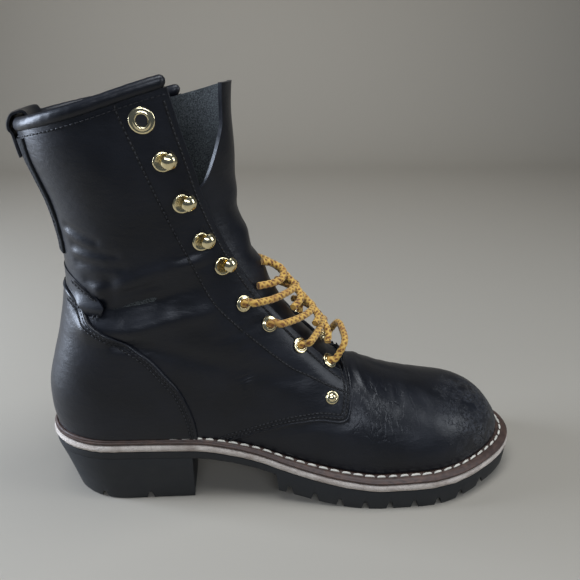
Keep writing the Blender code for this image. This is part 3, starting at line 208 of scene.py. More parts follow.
FAN = table(
    "row front far setback",
    (0, 0.000, 0.000, 0.1180), (7, 0.140, 0.092, 0.0740), (12, 0.250, 0.168, 0.0500),
    (16, 0.350, 0.256, 0.0350), (19, 0.457, 0.340, 0.0210), (21, 0.495, 0.380, 0.0180),
    (22, 0.502, 0.3825, 0.0178), (23, 0.508, 0.390, 0.0175), (24, 0.513, 0.401, 0.0172),
    (25, 0.518, 0.416, 0.0170), (26, 0.524, 0.434, 0.0166), (29, 0.545, 0.520, 0.0160),
    (32, 0.567, 0.610, 0.0150), (35, 0.590, 0.700, 0.0140), (38, 0.640, 0.780, 0.0180),
    (40, 0.700, 0.836, 0.0240), (42, 0.780, 0.892, 0.0300), (45, 0.870, 0.946, 0.0300),
    (48, 0.945, 0.985, 0.0240), (50, 1.000, 1.000, 0.0200),
)
COUNTER = table(
    "along up",
    (-0.060, 0.445), (0.055, 0.432), (0.093, 0.405), (0.125, 0.350), (0.160, 0.316), (0.195, 0.286),
    (0.227, 0.247), (0.254, 0.195), (0.276, 0.150), (0.291, 0.098), (0.303, 0.035), (0.309, -0.060),
)
ANKLE_BAND = table(
    "along up",
    (-0.060, 0.520), (0.050, 0.492), (0.093, 0.462), (0.148, 0.412), (0.151, 0.382), (0.130, 0.358),
)
FACING = table(
    "along up hook",
    (0.5740, 0.190, 0), (0.5130, 0.252, 0), (0.4530, 0.327, 0), (0.4050, 0.394, 0), (0.3720, 0.504, 1),
    (0.3370, 0.576, 1), (0.3090, 0.678, 1), (0.2830, 0.782, 1), (0.2520, 0.874, 0),
)


def smooth(knots, values, at):
    knots = np.asarray(knots, dtype=float)
    values = np.asarray(values, dtype=float)
    at = np.clip(np.asarray(at, dtype=float), knots[0], knots[-1])
    step = np.diff(knots)
    slope = np.diff(values) / step
    tangent = np.zeros_like(values)
    tangent[0] = slope[0]
    tangent[-1] = slope[-1]
    rising = slope[:-1] * slope[1:] > 0
    total = np.where(rising, slope[:-1] + slope[1:], 1.0)
    tangent[1:-1] = np.where(rising, 2 * slope[:-1] * slope[1:] / total, 0.0)
    cell = np.clip(np.searchsorted(knots, at, side="right") - 1, 0, len(step) - 1)
    t = (at - knots[cell]) / step[cell]
    start = values[cell] * (1 + 2 * t) * (1 - t) ** 2 + tangent[cell] * step[cell] * t * (1 - t) ** 2
    end = values[cell + 1] * t * t * (3 - 2 * t) - tangent[cell + 1] * step[cell] * t * t * (1 - t)
    return start + end


def read(source, column, at, key="share"):
    return smooth(source[key], source[column], at)


def along(share):
    return HEEL_BACK + np.asarray(share) * SOLE_LENGTH


def share_of(x):
    return (np.asarray(x) - HEEL_BACK) / SOLE_LENGTH


def rounded(t, power=ROUND_POWER):
    t = np.clip(t, 0.0, 1.0)
    return np.maximum(1 - (1 - t) ** power, 0.0) ** (1 / power)


def unit(vectors):
    return vectors / np.linalg.norm(vectors, axis=-1, keepdims=True)


def step_between(low, high, value):
    t = np.clip((value - low) / (high - low), 0, 1)
    return t * t * (3 - 2 * t)


def platform(x):
    share = share_of(x)
    heel = read(PLATFORM, "heel", share)
    return FOREPART + (HEEL_HEIGHT - FOREPART) * heel + TOE_SPRING * read(PLATFORM, "spring", share)


def midsole_top(x):
    return platform(x) + MIDSOLE


def welt_low(x):
    return midsole_top(x) + GAP


def welt_top(x):
    return welt_low(x) + WELT


def feather(x):
    return welt_top(x) + GAP


def tread(x):
    share = share_of(x)
    return TREAD_ROCKER * read(TREAD, "rocker", share) + TOE_LIFT * read(TREAD, "lift", share)


def show_of(x):
    return WELT_MARGIN * read(MARGIN, "show", share_of(x))


def spine(x):
    return BALL_WIDTH * read(PLAN, "spine", share_of(x))


def reach(x, side):
    column = "medial" if side == MEDIAL else "lateral"
    return BALL_WIDTH * read(PLAN, column, share_of(x)) - side * spine(x)


def sole_edge(x, side, inset):
    back = (x - along(0) - inset) / HEEL_ROUND
    tip = (along(1) - inset - x) / TOE_ROUND
    return spine(x) + side * (reach(x, side) - inset) * rounded(back) * rounded(tip)


SEAT = float(feather(along(0)))


def height_of(up):
    return SEAT + np.asarray(up) * UPPER_HEIGHT


def leg_back(z):
    return along(read(LEG, "back", (z - SEAT) / UPPER_HEIGHT, key="up"))


def leg_width(z):
    return BALL_WIDTH * read(LEG, "width", (z - SEAT) / UPPER_HEIGHT, key="up")


def front_point(place):
    x = along(read(FRONT, "along", place, key="place"))
    rise = read(FRONT, "rise", place, key="place")
    leg = read(FRONT, "leg", place, key="place")
    return x, feather(x) + rise * INSTEP_RISE + leg * LEG_HEIGHT


def far_point(place):
    place = np.asarray(place, dtype=float)
    down = np.clip(place / HEEL_CORNER, 0, 1)
    z_back = height_of(COLLAR_BACK_UP * (1 - down))
    x_start = leg_back(SEAT)
    forward = np.clip((place - HEEL_CORNER) / (1 - HEEL_CORNER), 0, 1)
    x_feather = x_start + forward * (front_point(1.0)[0] - x_start)
    on_back = place <= HEEL_CORNER
    return np.where(on_back, leg_back(z_back), x_feather), np.where(on_back, z_back, feather(x_feather))


def rim_slope():
    (x_back, z_back), (x_front, z_front) = far_point(0.0), front_point(0.0)
    return (z_front - z_back) / (x_front - x_back)


def rim_bend(x, side):
    """Rise of the rim off its straight line: the inner side sags towards the front."""
    run = (x - far_point(0.0)[0]) / (front_point(0.0)[0] - far_point(0.0)[0])
    lateral, medial = (read(RIM, column, run, key="run") for column in ("lateral", "medial"))
    return LEG_HEIGHT * np.where(np.asarray(side) == MEDIAL, medial, lateral)


def rim_height(x, side=LATERAL):
    """Height of the upper's rim."""
    x_back, z_back = far_point(0.0)
    return z_back + (x - x_back) * rim_slope() + rim_bend(x, side)


FRONT_X, FRONT_Z = front_point(np.linspace(0, 1, 400))
TURN = int(np.argmin(FRONT_X))


def ridge_height(x):
    return np.interp(x, FRONT_X[TURN:], FRONT_Z[TURN:], left=2 * UPPER_HEIGHT)


def leg_front(z):
    return np.interp(z, FRONT_Z[::-1], FRONT_X[::-1])


def hand_over(z):
    return step_between(height_of(HAND_OVER_LOW), height_of(HAND_OVER_HIGH), z)


def surface_y(x, z, side):
    """Y of the upper's outer face at a side-view point."""
    x = np.asarray(x, dtype=float)
    z = np.asarray(z, dtype=float)
    back = leg_back(z)
    low = feather(x)
    swell = SIDE_SWELL * rounded((z - low) / SWELL_HEIGHT, 2)
    wide = reach(x, side) - show_of(x) + swell
    heel_end = rounded((x - back) / (UPPER_HEEL_ROUND * SOLE_LENGTH))
    toe_end = rounded((FRONT_X[-1] - x) / (UPPER_TOE_ROUND * SOLE_LENGTH))
    climb = np.clip((z - low) / np.maximum(ridge_height(x) - low, GAP), 0, 1)
    foot = wide * heel_end * toe_end * (1 - climb ** SECTION_POWER) ** (1 / SECTION_POWER)
    leg_end = rounded((x - back) / (LEG_ROUND * SOLE_LENGTH))
    leg_start = rounded((leg_front(z) - x) / (LEG_ROUND * SOLE_LENGTH))
    leg = leg_width(z) * leg_end * leg_start
    share = hand_over(z)
    return spine(x) * (1 - share) + side * (foot * (1 - share) + leg * share)


# Side-view lines of the outer side, millimetres from the heel's back and from the floor

SEAM = (
    (190.0, 88.0), (191.5, 84.0), (192.6, 77.6), (191.8, 70.0), (190.6, 64.0), (188.6, 59.6),
    (184.5, 58.2), (178.0, 59.0), (170.3, 59.6), (153.6, 56.8), (140.6, 52.4), (129.3, 48.3),
    (117.9, 44.4), (108.0, 39.0),
)
EYESTAY = (
    (66.3, 247.0), (66.8, 243.0), (73.4, 225.1), (80.9, 204.5), (88.9, 183.2), (97.7, 162.2),
    (109.2, 137.3), (122.0, 122.5), (136.5, 108.2), (152.7, 94.3), (164.4, 87.4), (178.0, 79.5),
    (191.0, 73.0),
)

# Creases: line, half width, depth (a ridge is negative), and which side it is on, 0 for both
CREASES = table(
    "x0 z0 x1 z1 width depth side",
    (52, 150, 50, 133, 4.5, 1.56, 0), (58, 128, 74, 132, 3.6, 0.96, -1),
    (56, 138, 66, 143, 3.4, 0.84, -1), (36, 121, 60, 121.5, 6, -2.72, -1),
    (60, 121.5, 84, 127, 6.5, -3.07, -1), (84, 127, 104, 131, 5.5, -2.17, -1),
    (33, 134, 52, 134, 5, 2.36, -1), (52, 134, 76, 140, 5.5, 2.17, -1), (76, 140, 98, 147, 5, 1.45, -1),
    (52, 113, 76, 109, 3.4, 1.81, -1), (76, 109, 108, 98, 5, 1.64, -1),
    (108, 98, 158, 86.5, 6.5, 1.09, -1), (45, 145, 72, 155, 4.5, -1.64, -1),
    (72, 155, 100, 163, 4.5, -1.45, -1), (50, 141, 78, 149, 3, 1.26, -1),
    (30, 182, 47, 175, 2.2, 0.76, -1), (33, 171, 57, 167, 2.2, 0.83, -1),
    (34, 161, 60, 160, 2.4, 0.76, -1), (38, 151, 52, 149.5, 2, 0.76, -1),
    (31, 177, 44, 171, 1.6, -0.53, -1), (34, 166, 50, 163, 1.6, -0.53, -1),
    (92, 165, 108, 170, 1.6, 0.68, -1), (112, 114, 138, 123, 1.8, 0.76, -1),
    (98, 158, 108, 160, 1.4, 0.53, -1), (195, 81, 202, 70, 1.5, 0.41, -1),
    (202, 79, 208.5, 66, 1.7, 0.41, -1), (198.5, 80, 205, 68, 1.3, -0.25, -1),
    (217, 72, 217, 66, 1.5, 0.39, -1), (217, 66, 212, 59, 1.5, 0.33, -1),
    (225, 69, 225, 63, 1.6, 0.39, -1), (225, 63, 222, 55, 1.6, 0.3, -1),
    (221, 70, 221, 61, 1.6, -0.28, -1), (236, 66, 242, 61, 1.7, 0.28, -1),
    (242, 61, 241, 53, 1.7, 0.25, -1), (202, 69, 211, 58, 1.6, 0.28, -1),
    (207, 70, 214, 62, 1.6, -0.22, -1), (230, 68, 232, 58, 2.2, -0.19, -1),
    (244, 60, 240, 44, 2.4, 0.17, -1), (213, 75, 214, 68, 1.2, 0.22, -1),
    (34, 122, 62, 121, 6, -2.36, 1), (62, 121, 100, 128, 6, -2.36, 1), (34, 135, 56, 134, 5, 2.17, 1),
    (56, 134, 96, 144, 5.5, 2, 1), (52, 112, 80, 106, 4, 1.64, 1), (80, 106, 130, 92, 5.5, 1.26, 1),
    (45, 146, 96, 160, 4.5, -1.45, 1), (31, 179, 52, 172, 2.4, 0.76, 1),
    (33, 168, 58, 163, 2.4, 0.76, 1), (196, 80, 204, 68, 1.7, 0.33, 1),
    (205, 77, 211, 62, 1.7, 0.33, 1), (216, 73, 219, 60, 1.7, 0.33, 1),
    (226, 69, 229, 56, 1.8, 0.28, 1), (238, 65, 240, 54, 1.9, 0.22, 1),
    (200.5, 79, 208, 66, 1.4, -0.19, 1),
)


def line_points(points):
    """Points of a line in metres, in the row frame's X and Z."""
    made = np.array(points, dtype=float) * MM
    made[:, 0] += HEEL_BACK
    return made


def line_distance(x, z, points):
    """Distance to a line."""
    best = np.full(np.shape(x), np.inf)
    for (x0, z0), (x1, z1) in zip(points[:-1], points[1:]):
        dx, dz = x1 - x0, z1 - z0
        t = np.clip(((x - x0) * dx + (z - z0) * dz) / (dx * dx + dz * dz), 0, 1)
        best = np.minimum(best, np.hypot(x - x0 - t * dx, z - z0 - t * dz))
    return best


def inside(x, z, polygon):
    odd = np.zeros(np.shape(x), dtype=bool)
    for (x0, z0), (x1, z1) in zip(polygon, np.roll(polygon, -1, axis=0)):
        crosses = (z0 > z) != (z1 > z)
        span = z1 - z0 if z1 != z0 else 1e-9
        odd ^= crosses & (x < x0 + (z - z0) * (x1 - x0) / span)
    return odd


SEAM_LINE = line_points(SEAM)
BEHIND_SEAM = ((108.0, 30.0), (-20.0, 30.0), (-20.0, 300.0), (190.0, 300.0), (190.0, 130.0))
QUARTER_REGION = np.vstack((line_points(BEHIND_SEAM), SEAM_LINE))
STEP = 0.0011
SEAM_RAMP = 0.0075


def vamp_drop(x, z):
    """How far the vamp lies under the quarter's front edge, fading ahead; negative."""
    away = line_distance(x, z, SEAM_LINE)
    return -STEP * np.clip(1 - away / SEAM_RAMP, 0, 1) * ~inside(x, z, QUARTER_REGION)


def relief(x, z, side):
    """Creases: soft troughs and ridges, outward."""
    side = np.broadcast_to(side, np.shape(x))
    trough = np.zeros(np.shape(x))
    ridge = np.zeros(np.shape(x))
    for x0, z0, x1, z1, width, depth, only in zip(*CREASES.values()):
        line = line_points(((x0, z0), (x1, z1)))
        away = line_distance(x, z, line)
        rise = -depth * MM * np.exp(-(away / (width * MM)) ** 2) * ((only == 0) | (side == only))
        trough = np.minimum(trough, rise)
        ridge = np.maximum(ridge, rise)
    fade = step_between(0.0, 0.010, z - feather(x))
    wave = np.sin(61 * x + 40 * z + 1.0) * np.sin(88 * z - 35 * x + 0.6 * side)
    return (trough + ridge + 0.00035 * wave) * fade


def mesh_object(name, points, faces, slot, materials=None, face_slots=None, sharp=60):
    mesh = bpy.data.meshes.new(name)
    mesh.from_pydata(np.asarray(points, dtype=float).tolist(), [], faces)
    for finish in materials or [MATERIALS[slot]]:
        mesh.materials.append(finish)
    if face_slots is not None:
        mesh.polygons.foreach_set("material_index", np.asarray(face_slots, dtype=np.int32))
    mesh.shade_smooth()
    mesh.set_sharp_from_angle(angle=math.radians(sharp))
    mesh.update()
    made = bpy.data.objects.new(name, mesh)
    bpy.context.scene.collection.objects.link(made)
    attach(made, "root")
    return made


def normals_of(points, quads):
    """Point normals, the mean of the faces round each."""
    quads = np.asarray(quads)
    one = points[quads[:, 2]] - points[quads[:, 0]]
    other = points[quads[:, 3]] - points[quads[:, 1]]
    face = np.cross(one, other)
    total = np.zeros_like(points)
    for corner in range(4):
        np.add.at(total, quads[:, corner], face)
    return total / np.maximum(np.linalg.norm(total, axis=1)[:, None], 1e-12)


WELD = 1e-6


def turn_outward(made, weld=0.0, thin=0.0):
    """Faces turned outward, after points nearer than weld are joined and edges under thin dissolved."""
    shape = bmesh.new()
    shape.from_mesh(made.data)
    if weld:
        bmesh.ops.remove_doubles(shape, verts=shape.verts, dist=weld)
    if thin:
        bmesh.ops.dissolve_degenerate(shape, edges=shape.edges, dist=thin)
    bmesh.ops.recalc_face_normals(shape, faces=shape.faces)
    shape.to_mesh(made.data)
    shape.free()


def rim_faces(quads, count):
    """Faces that close the edge between a sheet and its copy."""
    edges = {}
    for quad in quads.tolist():
        for start, end in zip(quad, quad[1:] + quad[:1]):
            if start != end:
                edges[start, end] = True
    return [[end, start, start + count, end + count] for start, end in edges if (end, start) not in edges]


def tidy(quads):
    """Faces without the corners that repeat, as lists."""
    return [list(dict.fromkeys(quad)) for quad in quads.tolist() if len(set(quad)) > 2]


def fan_lines(place):
    """At each row: shares along the front and far lines, far points, spans to the front, and throat edge."""
    front, far, setback = (read(FAN, name, place, key="row") for name in ("front", "far", "setback"))
    (x_near, z_near), (x_far, z_far) = front_point(front), far_point(far)
    length = np.maximum(np.hypot(x_near - x_far, z_near - z_far), GAP)
    edge = 1 - np.minimum(setback * SOLE_LENGTH / length, WIDEST_SETBACK)
    return front, far, (x_far, z_far), (x_near - x_far, z_near - z_far), length, edge


def between(start, span, t):
    """Points at shares t of the way over the spans, as X and Z."""
    return tuple(first[:, None] + t * whole[:, None] for first, whole in zip(start, span))


def bent_rim(x, z, place, side):
    """Grid of one side, whose upper rows follow the rim's bend."""
    bent = np.maximum(1 - place / RIM_ROWS, 0)[:, None] * rim_bend(x, side)
    return np.stack((x, surface_y(x, z, side), z + bent), axis=-1)


def fine_form(rows, quarter, front):
    """Fine grid of the closed form: points, index by side, row and column, and side of each point."""
    place = np.linspace(0, FAN["row"][-1], rows + 1)
    near_place, far_place, far, span, _, edge = fan_lines(place)
    edge = edge[:, None]
    bunch = (1 - step_between(HEEL_CORNER + BUNCH_START, HEEL_CORNER + BUNCH_END, far_place))[:, None]
    s = np.linspace(0, 1, quarter + 1)[None, :]
    f = np.linspace(0, 1, front + 1)[None, 1:]
    t = np.hstack((edge * ((1 - bunch) * s + bunch * (BUNCH_EVEN * s + (1 - BUNCH_EVEN) * s * s)),
                   edge + (1 - edge) * (1 - (1 - f) ** 2)))
    x, z = between(far, span, t)
    points = np.stack([bent_rim(x, z, place, side) for side in (LATERAL, MEDIAL)])
    middle = spine(x) * (1 - hand_over(z))
    points[:, :, -1, 1] = middle[:, -1]
    index = np.arange(points[..., 0].size).reshape(points.shape[:3])
    index[1, :, -1] = index[0, :, -1]
    on_back = far_place <= HEEL_CORNER
    points[:, on_back, 0, 1] = middle[on_back, 0]
    index[1, on_back, 0] = index[0, on_back, 0]
    index[:, -1, :] = index[0, -1, 0]
    return points.reshape(-1, 3), index, near_place, far_place, sides_of(index)


def sides_of(index):
    """Side of each point of a grid indexed by side, row and column."""
    return np.broadcast_to(np.array((LATERAL, MEDIAL))[:, None, None], index.shape).reshape(-1)


def grid_quads(index, flip):
    quads = np.stack((index[:-1, :-1], index[:-1, 1:], index[1:, 1:], index[1:, :-1]), axis=-1).reshape(-1, 4)
    return quads[:, ::-1] if flip else quads


def quads_of(index):
    """Faces of a grid on both sides, outward."""
    return np.vstack((grid_quads(index[0], True), grid_quads(index[1], False)))


def sheet(name, points, quads, sides, outer, inner, slot, snap=None, lining=None):
    """Closed sheet between two offsets of a grid. snap sets points back on a line or face."""
    normals = normals_of(points, quads)
    used = np.unique(quads)
    local = np.full(len(points), -1)
    local[used] = np.arange(len(used))
    quads = local[quads]
    base = points[used]
    out = base + normals[used] * outer(base, sides[used])[:, None]
    low = base + normals[used] * inner(base, sides[used])[:, None]
    if snap is not None:
        snap(used, out)
        snap(used, low)
    count = len(used)
    front = tidy(quads)
    back = [[corner + count for corner in reversed(face)] for face in front]
    rim = rim_faces(quads, count)
    materials = [MATERIALS[slot]] + ([MATERIALS[lining]] if lining else [])
    slots = [0] * len(front) + [1 if lining else 0] * len(back) + [0] * len(rim)
    return mesh_object(name, np.vstack((out, low)), front + back + rim, slot, materials, slots)


# Materials

def node_material(name):
    made = bpy.data.materials.new(name)
    made.use_nodes = True
    tree = made.node_tree
    shader = tree.nodes["Principled BSDF"]
    place = tree.nodes.new("ShaderNodeTexCoord").outputs["Object"]
    return made, tree, shader, place


def noise(tree, place, scale, detail=4.0, rough=0.55, squash=None):
    if squash is not None:
        mapping = tree.nodes.new("ShaderNodeMapping")
        mapping.inputs["Scale"].default_value = squash
        tree.links.new(place, mapping.inputs["Vector"])
        place = mapping.outputs["Vector"]
    node = tree.nodes.new("ShaderNodeTexNoise")
    node.inputs["Scale"].default_value = scale
    node.inputs["Detail"].default_value = detail
    node.inputs["Roughness"].default_value = rough
    tree.links.new(place, node.inputs["Vector"])
    return node.outputs["Fac"]


def cells(tree, place, scale):
    node = tree.nodes.new("ShaderNodeTexVoronoi")
    node.feature = "DISTANCE_TO_EDGE"
    node.inputs["Scale"].default_value = scale
    tree.links.new(place, node.inputs["Vector"])
    return node.outputs["Distance"]


def ranged(tree, value, low, high, start=0.0, end=1.0):
    node = tree.nodes.new("ShaderNodeMapRange")
    for name, number in zip(("From Min", "From Max", "To Min", "To Max"), (low, high, start, end)):
        node.inputs[name].default_value = number
    tree.links.new(value, node.inputs["Value"])
    return node.outputs["Result"]


def maths(tree, kind, one, other):
    node = tree.nodes.new("ShaderNodeMath")
    node.operation = kind
    for socket, value in zip(node.inputs, (one, other)):
        if isinstance(value, (int, float)):
            socket.default_value = value
        else:
            tree.links.new(value, socket)
    return node.outputs["Value"]


def mixed(tree, share, one, other):
    node = tree.nodes.new("ShaderNodeMix")
    node.data_type = "RGBA"
    tree.links.new(share, node.inputs["Factor"])
    for name, value in (("A", one), ("B", other)):
        socket = [item for item in node.inputs if item.name == name and item.type == "RGBA"][0]
        if isinstance(value, tuple):
            socket.default_value = (*value, 1.0)
        else:
            tree.links.new(value, socket)
    return [item for item in node.outputs if item.type == "RGBA"][0]


def bump(tree, shader, layers):
    """Bump layers of (height, strength, distance) on the shader's normal."""
    normal = None
    for height, strength, distance in layers:
        node = tree.nodes.new("ShaderNodeBump")
        node.inputs["Strength"].default_value = strength
        node.inputs["Distance"].default_value = distance
        tree.links.new(height, node.inputs["Height"])
        if normal is not None:
            tree.links.new(normal, node.inputs["Normal"])
        normal = node.outputs["Normal"]
    tree.links.new(normal, shader.inputs["Normal"])


def feed(tree, shader, values):
    """Sets a shader's inputs, by name, to numbers or joins them to sockets."""
    for name, value in values.items():
        if isinstance(value, (int, float)):
            shader.inputs[name].default_value = value
        else:
            tree.links.new(value, shader.inputs[name])


def near_spot(tree, place, centre, radius, soft):
    """1 near a point, falling to 0."""
    node = tree.nodes.new("ShaderNodeVectorMath")
    node.operation = "DISTANCE"
    tree.links.new(place, node.inputs[0])
    node.inputs[1].default_value = centre
    return ranged(tree, node.outputs["Value"], radius, radius + soft, 1.0, 0.0)


TOE_SPOT = (0.236, -0.018, 0.042)
FLEX_SPOT = (0.160, -0.036, 0.066)


def leather_material():
    made, tree, shader, place = node_material("black_leather_look")
    patches = noise(tree, place, 34, 4)
    fine = noise(tree, place, 900, 3)
    grain = cells(tree, place, 1500)
    long = noise(tree, place, 110, 5, 0.6, (1.0, 1.0, 2.2))
    speckle = noise(tree, place, 520, 5, 0.75)
    blotch = noise(tree, place, 120, 4, 0.6)
    toe = near_spot(tree, place, TOE_SPOT, 0.014, 0.028)
    worn = maths(tree, "MULTIPLY", toe, ranged(tree, blotch, 0.42, 0.60))
    pits = maths(tree, "MULTIPLY", worn, ranged(tree, speckle, 0.50, 0.60))
    tone = mixed(tree, ranged(tree, patches, 0.35, 0.7), (0.0040, 0.0046, 0.0068), (0.0070, 0.0080, 0.0120))
    tone = mixed(tree, maths(tree, "MULTIPLY", worn, 0.75), tone, (0.050, 0.053, 0.062))
    tone = mixed(tree, pits, tone, (0.003, 0.003, 0.004))
    rough = ranged(tree, patches, 0.3, 0.75, 0.34, 0.46)
    rough = maths(tree, "ADD", rough, maths(tree, "MULTIPLY", worn, 0.10))
    feed(tree, shader, {"Base Color": tone, "Roughness": rough, "Specular IOR Level": 0.32,
                        "Coat Weight": 0.10, "Coat Roughness": 0.26})
    flex = near_spot(tree, place, FLEX_SPOT, 0.006, 0.026)
    folds = noise(tree, place, 95, 2, 0.5, (1.7, 1.0, 0.8))
    ridged = maths(tree, "ABSOLUTE", maths(tree, "SUBTRACT", folds, 0.5), 0.0)
    crinkle = maths(tree, "MULTIPLY", flex, ranged(tree, ridged, 0.0, 0.05))
    bump(tree, shader, ((long, 0.34, 0.0010), (crinkle, 0.30, 0.0008), (grain, 0.14, 0.0002),
                        (fine, 0.14, 0.0002), (pits, 1.0, 0.0008)))
    return made


def suede_material(name, dark, light, scale=1300):
    made, tree, shader, place = node_material(name)
    nap = noise(tree, place, scale, 5, 0.75)
    shade = noise(tree, place, 60, 3)
    share = maths(tree, "MULTIPLY", ranged(tree, nap, 0.42, 0.62), ranged(tree, shade, 0.3, 0.7, 0.5, 1.0))
    feed(tree, shader, {"Base Color": mixed(tree, share, dark, light), "Roughness": 0.92,
                        "Specular IOR Level": 0.25, "Sheen Weight": 0.05})
    bump(tree, shader, ((nap, 0.6, 0.0006),))
    return made


def rubber_material():
    made, tree, shader, place = node_material("black_rubber_look")
    dust = noise(tree, place, 90, 5, 0.6)
    grit = noise(tree, place, 1100, 3)
    low = tree.nodes.new("ShaderNodeSeparateXYZ")
    tree.links.new(place, low.inputs["Vector"])
    near_floor = ranged(tree, low.outputs["Z"], 0.0, 0.010, 0.5, 0.0)
    dusty = maths(tree, "MULTIPLY", ranged(tree, dust, 0.45, 0.75), near_floor)
    tone = mixed(tree, dusty, (0.014, 0.015, 0.016), (0.05, 0.048, 0.044))
    rough = ranged(tree, dust, 0.3, 0.7, 0.55, 0.72)
    feed(tree, shader, {"Base Color": tone, "Roughness": rough, "Specular IOR Level": 0.4})
    bump(tree, shader, ((grit, 0.25, 0.0003), (dust, 0.2, 0.0008)))
    return made


def midsole_material():
    made, tree, shader, place = node_material("off_white_midsole_look")
    crumb = noise(tree, place, 700, 5, 0.7)
    stain = noise(tree, place, 95, 4)
    base = mixed(tree, ranged(tree, stain, 0.42, 0.72), (0.56, 0.495, 0.43), (0.33, 0.27, 0.225))
    tone = mixed(tree, ranged(tree, crumb, 0.55, 0.70, 0.0, 0.6), base, (0.22, 0.18, 0.16))
    feed(tree, shader, {"Base Color": tone, "Roughness": 0.85})
    bump(tree, shader, ((crumb, 0.9, 0.0010),))
    return made


def welt_material(name, dark, light):
    made, tree, shader, place = node_material(name)
    streak = noise(tree, place, 240, 4, 0.6, (1.0, 1.0, 3.0))
    stain = noise(tree, place, 60, 3)
    share = maths(tree, "MULTIPLY", ranged(tree, streak, 0.35, 0.7), ranged(tree, stain, 0.3, 0.7, 0.4, 1.0))
    rough = ranged(tree, streak, 0.3, 0.7, 0.42, 0.62)
    feed(tree, shader, {"Base Color": mixed(tree, share, dark, light), "Roughness": rough})
    bump(tree, shader, ((streak, 0.35, 0.0005),))
    return made


def plain_material(name, colour, roughness, metallic=0.0, wear=0.0):
    made, tree, shader, place = node_material(name)
    spots = noise(tree, place, 420, 4)
    darker = tuple(value * (1 - wear) for value in colour)
    tone = mixed(tree, ranged(tree, spots, 0.45, 0.75), colour, darker)
    rough = ranged(tree, spots, 0.3, 0.7, roughness * 0.85, roughness * 1.2)
    feed(tree, shader, {"Base Color": tone, "Roughness": rough, "Metallic": metallic})
    bump(tree, shader, ((spots, 0.08, 0.0002),))
    return made


def lace_material():
    made, tree, shader, place = node_material("yellow_lace_look")
    braid_shade_and_fleck = tree.nodes.new("ShaderNodeAttribute")
    braid_shade_and_fleck.attribute_name = "braid_shade_and_fleck"
    ramp = tree.nodes.new("ShaderNodeValToRGB")
    # Ramp stops: dark for the flecks and for the painted shade in the braid's grooves, up to the lace's own
    # gold on the raised strands.
    stops = ((0.0, (0.055, 0.020, 0.006)), (0.30, (0.20, 0.075, 0.014)), (0.45, (0.38, 0.185, 0.028)),
             (1.0, (0.66, 0.41, 0.085)))
    ramp.color_ramp.elements.remove(ramp.color_ramp.elements[1])
    ramp.color_ramp.elements[0].position = stops[0][0]
    ramp.color_ramp.elements[0].color = (*stops[0][1], 1.0)
    for position, colour in stops[1:]:
        element = ramp.color_ramp.elements.new(position)
        element.color = (*colour, 1.0)
    tree.links.new(braid_shade_and_fleck.outputs["Fac"], ramp.inputs["Fac"])
    brown = noise(tree, place, 55, 2)
    share = ranged(tree, brown, 0.52, 0.64, 0.0, 0.45)
    tone = mixed(tree, share, ramp.outputs["Color"], (0.30, 0.12, 0.025))
    feed(tree, shader, {"Base Color": tone, "Roughness": 0.75, "Sheen Weight": 0.2})
    bump(tree, shader, ((noise(tree, place, 1600, 3), 0.4, 0.0003),))
    return made


MATERIALS = {
    "black_leather": leather_material(),
    "flesh_side": suede_material("flesh_side_look", (0.007, 0.008, 0.008), (0.085, 0.093, 0.092)),
    "strap_side": suede_material("strap_look", (0.004, 0.0045, 0.005), (0.010, 0.011, 0.013), 1700),
    "black_rubber": rubber_material(),
    "off_white_midsole": midsole_material(),
    "brown_welt": welt_material("brown_welt_look", (0.036, 0.020, 0.015), (0.105, 0.060, 0.043)),
    "tan_insole": suede_material("tan_insole_look", (0.10, 0.07, 0.045), (0.20, 0.14, 0.09), 500),
    "pale_brass": plain_material("pale_brass_look", (0.88, 0.76, 0.46), 0.17, 1.0, 0.12),
    "yellow_lace": lace_material(),
    # Near-black finish of the stitches, also used on the discs in the eyelet bores as painted shade.
    "thread_and_bore_shade": plain_material("thread_and_bore_shade_look", (0.008, 0.008, 0.010), 0.60),
    # Near-black finish of the flat ribbons under the stitch rows: painted shade of a thread groove.
    "painted_groove_shade": plain_material("painted_groove_shade_look", (0.0015, 0.0015, 0.002), 0.85),
    "cream_thread": plain_material("cream_thread_look", (0.66, 0.62, 0.53), 0.80, 0.0, 0.35),
}

# Upper

POINTS, INDEX, NEAR, FAR, SIDES = fine_form(250, 64, 16)
THROAT_ROW = int(np.argmin(np.abs(NEAR - THROAT_END)))
QUARTER_END = 64
ON_FEATHER = np.zeros(len(POINTS), dtype=bool)
ON_FEATHER[INDEX[:, FAR >= HEEL_CORNER - 1e-6, 0]] = True
ON_RIM = np.zeros(len(POINTS), dtype=bool)
ON_RIM[INDEX[:, 0, :]] = True


def back_on_edges(used, points):
    feathered = ON_FEATHER[used]
    points[feathered, 2] = feather(points[feathered, 0])
    rimmed = ON_RIM[used]
    points[rimmed, 2] = rim_height(points[rimmed, 0], SIDES[used][rimmed])


def outer_face(points, sides):
    return relief(points[:, 0], points[:, 2], sides) + vamp_drop(points[:, 0], points[:, 2])


def level_at(offset):
    """The same offset for all points of a sheet."""
    return lambda points, _: np.full(len(points), offset)


def make_upper():
    quads = []
    for number in (0, 1):
        flip = number == 0
        quads.append(grid_quads(INDEX[number, :, :QUARTER_END + 1], flip))
        quads.append(grid_quads(INDEX[number, THROAT_ROW:, QUARTER_END:], flip))
    upper = sheet("upper_look", POINTS, np.vstack(quads), SIDES, outer_face, level_at(-WALL),
                  "black_leather", back_on_edges, "flesh_side")
    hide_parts("upper")


make_upper()


# Pieces that lie on the upper

def outward(x, z, side):
    """Unit normals of the outer face at side-view points."""
    span = 0.0008
    slope_x = (surface_y(x + span, z, side) - surface_y(x - span, z, side)) / (2 * span)
    slope_z = (surface_y(x, z + span, side) - surface_y(x, z - span, side)) / (2 * span)
    normal = np.stack((-slope_x, np.ones_like(slope_x), -slope_z), axis=-1) * side
    return unit(normal)


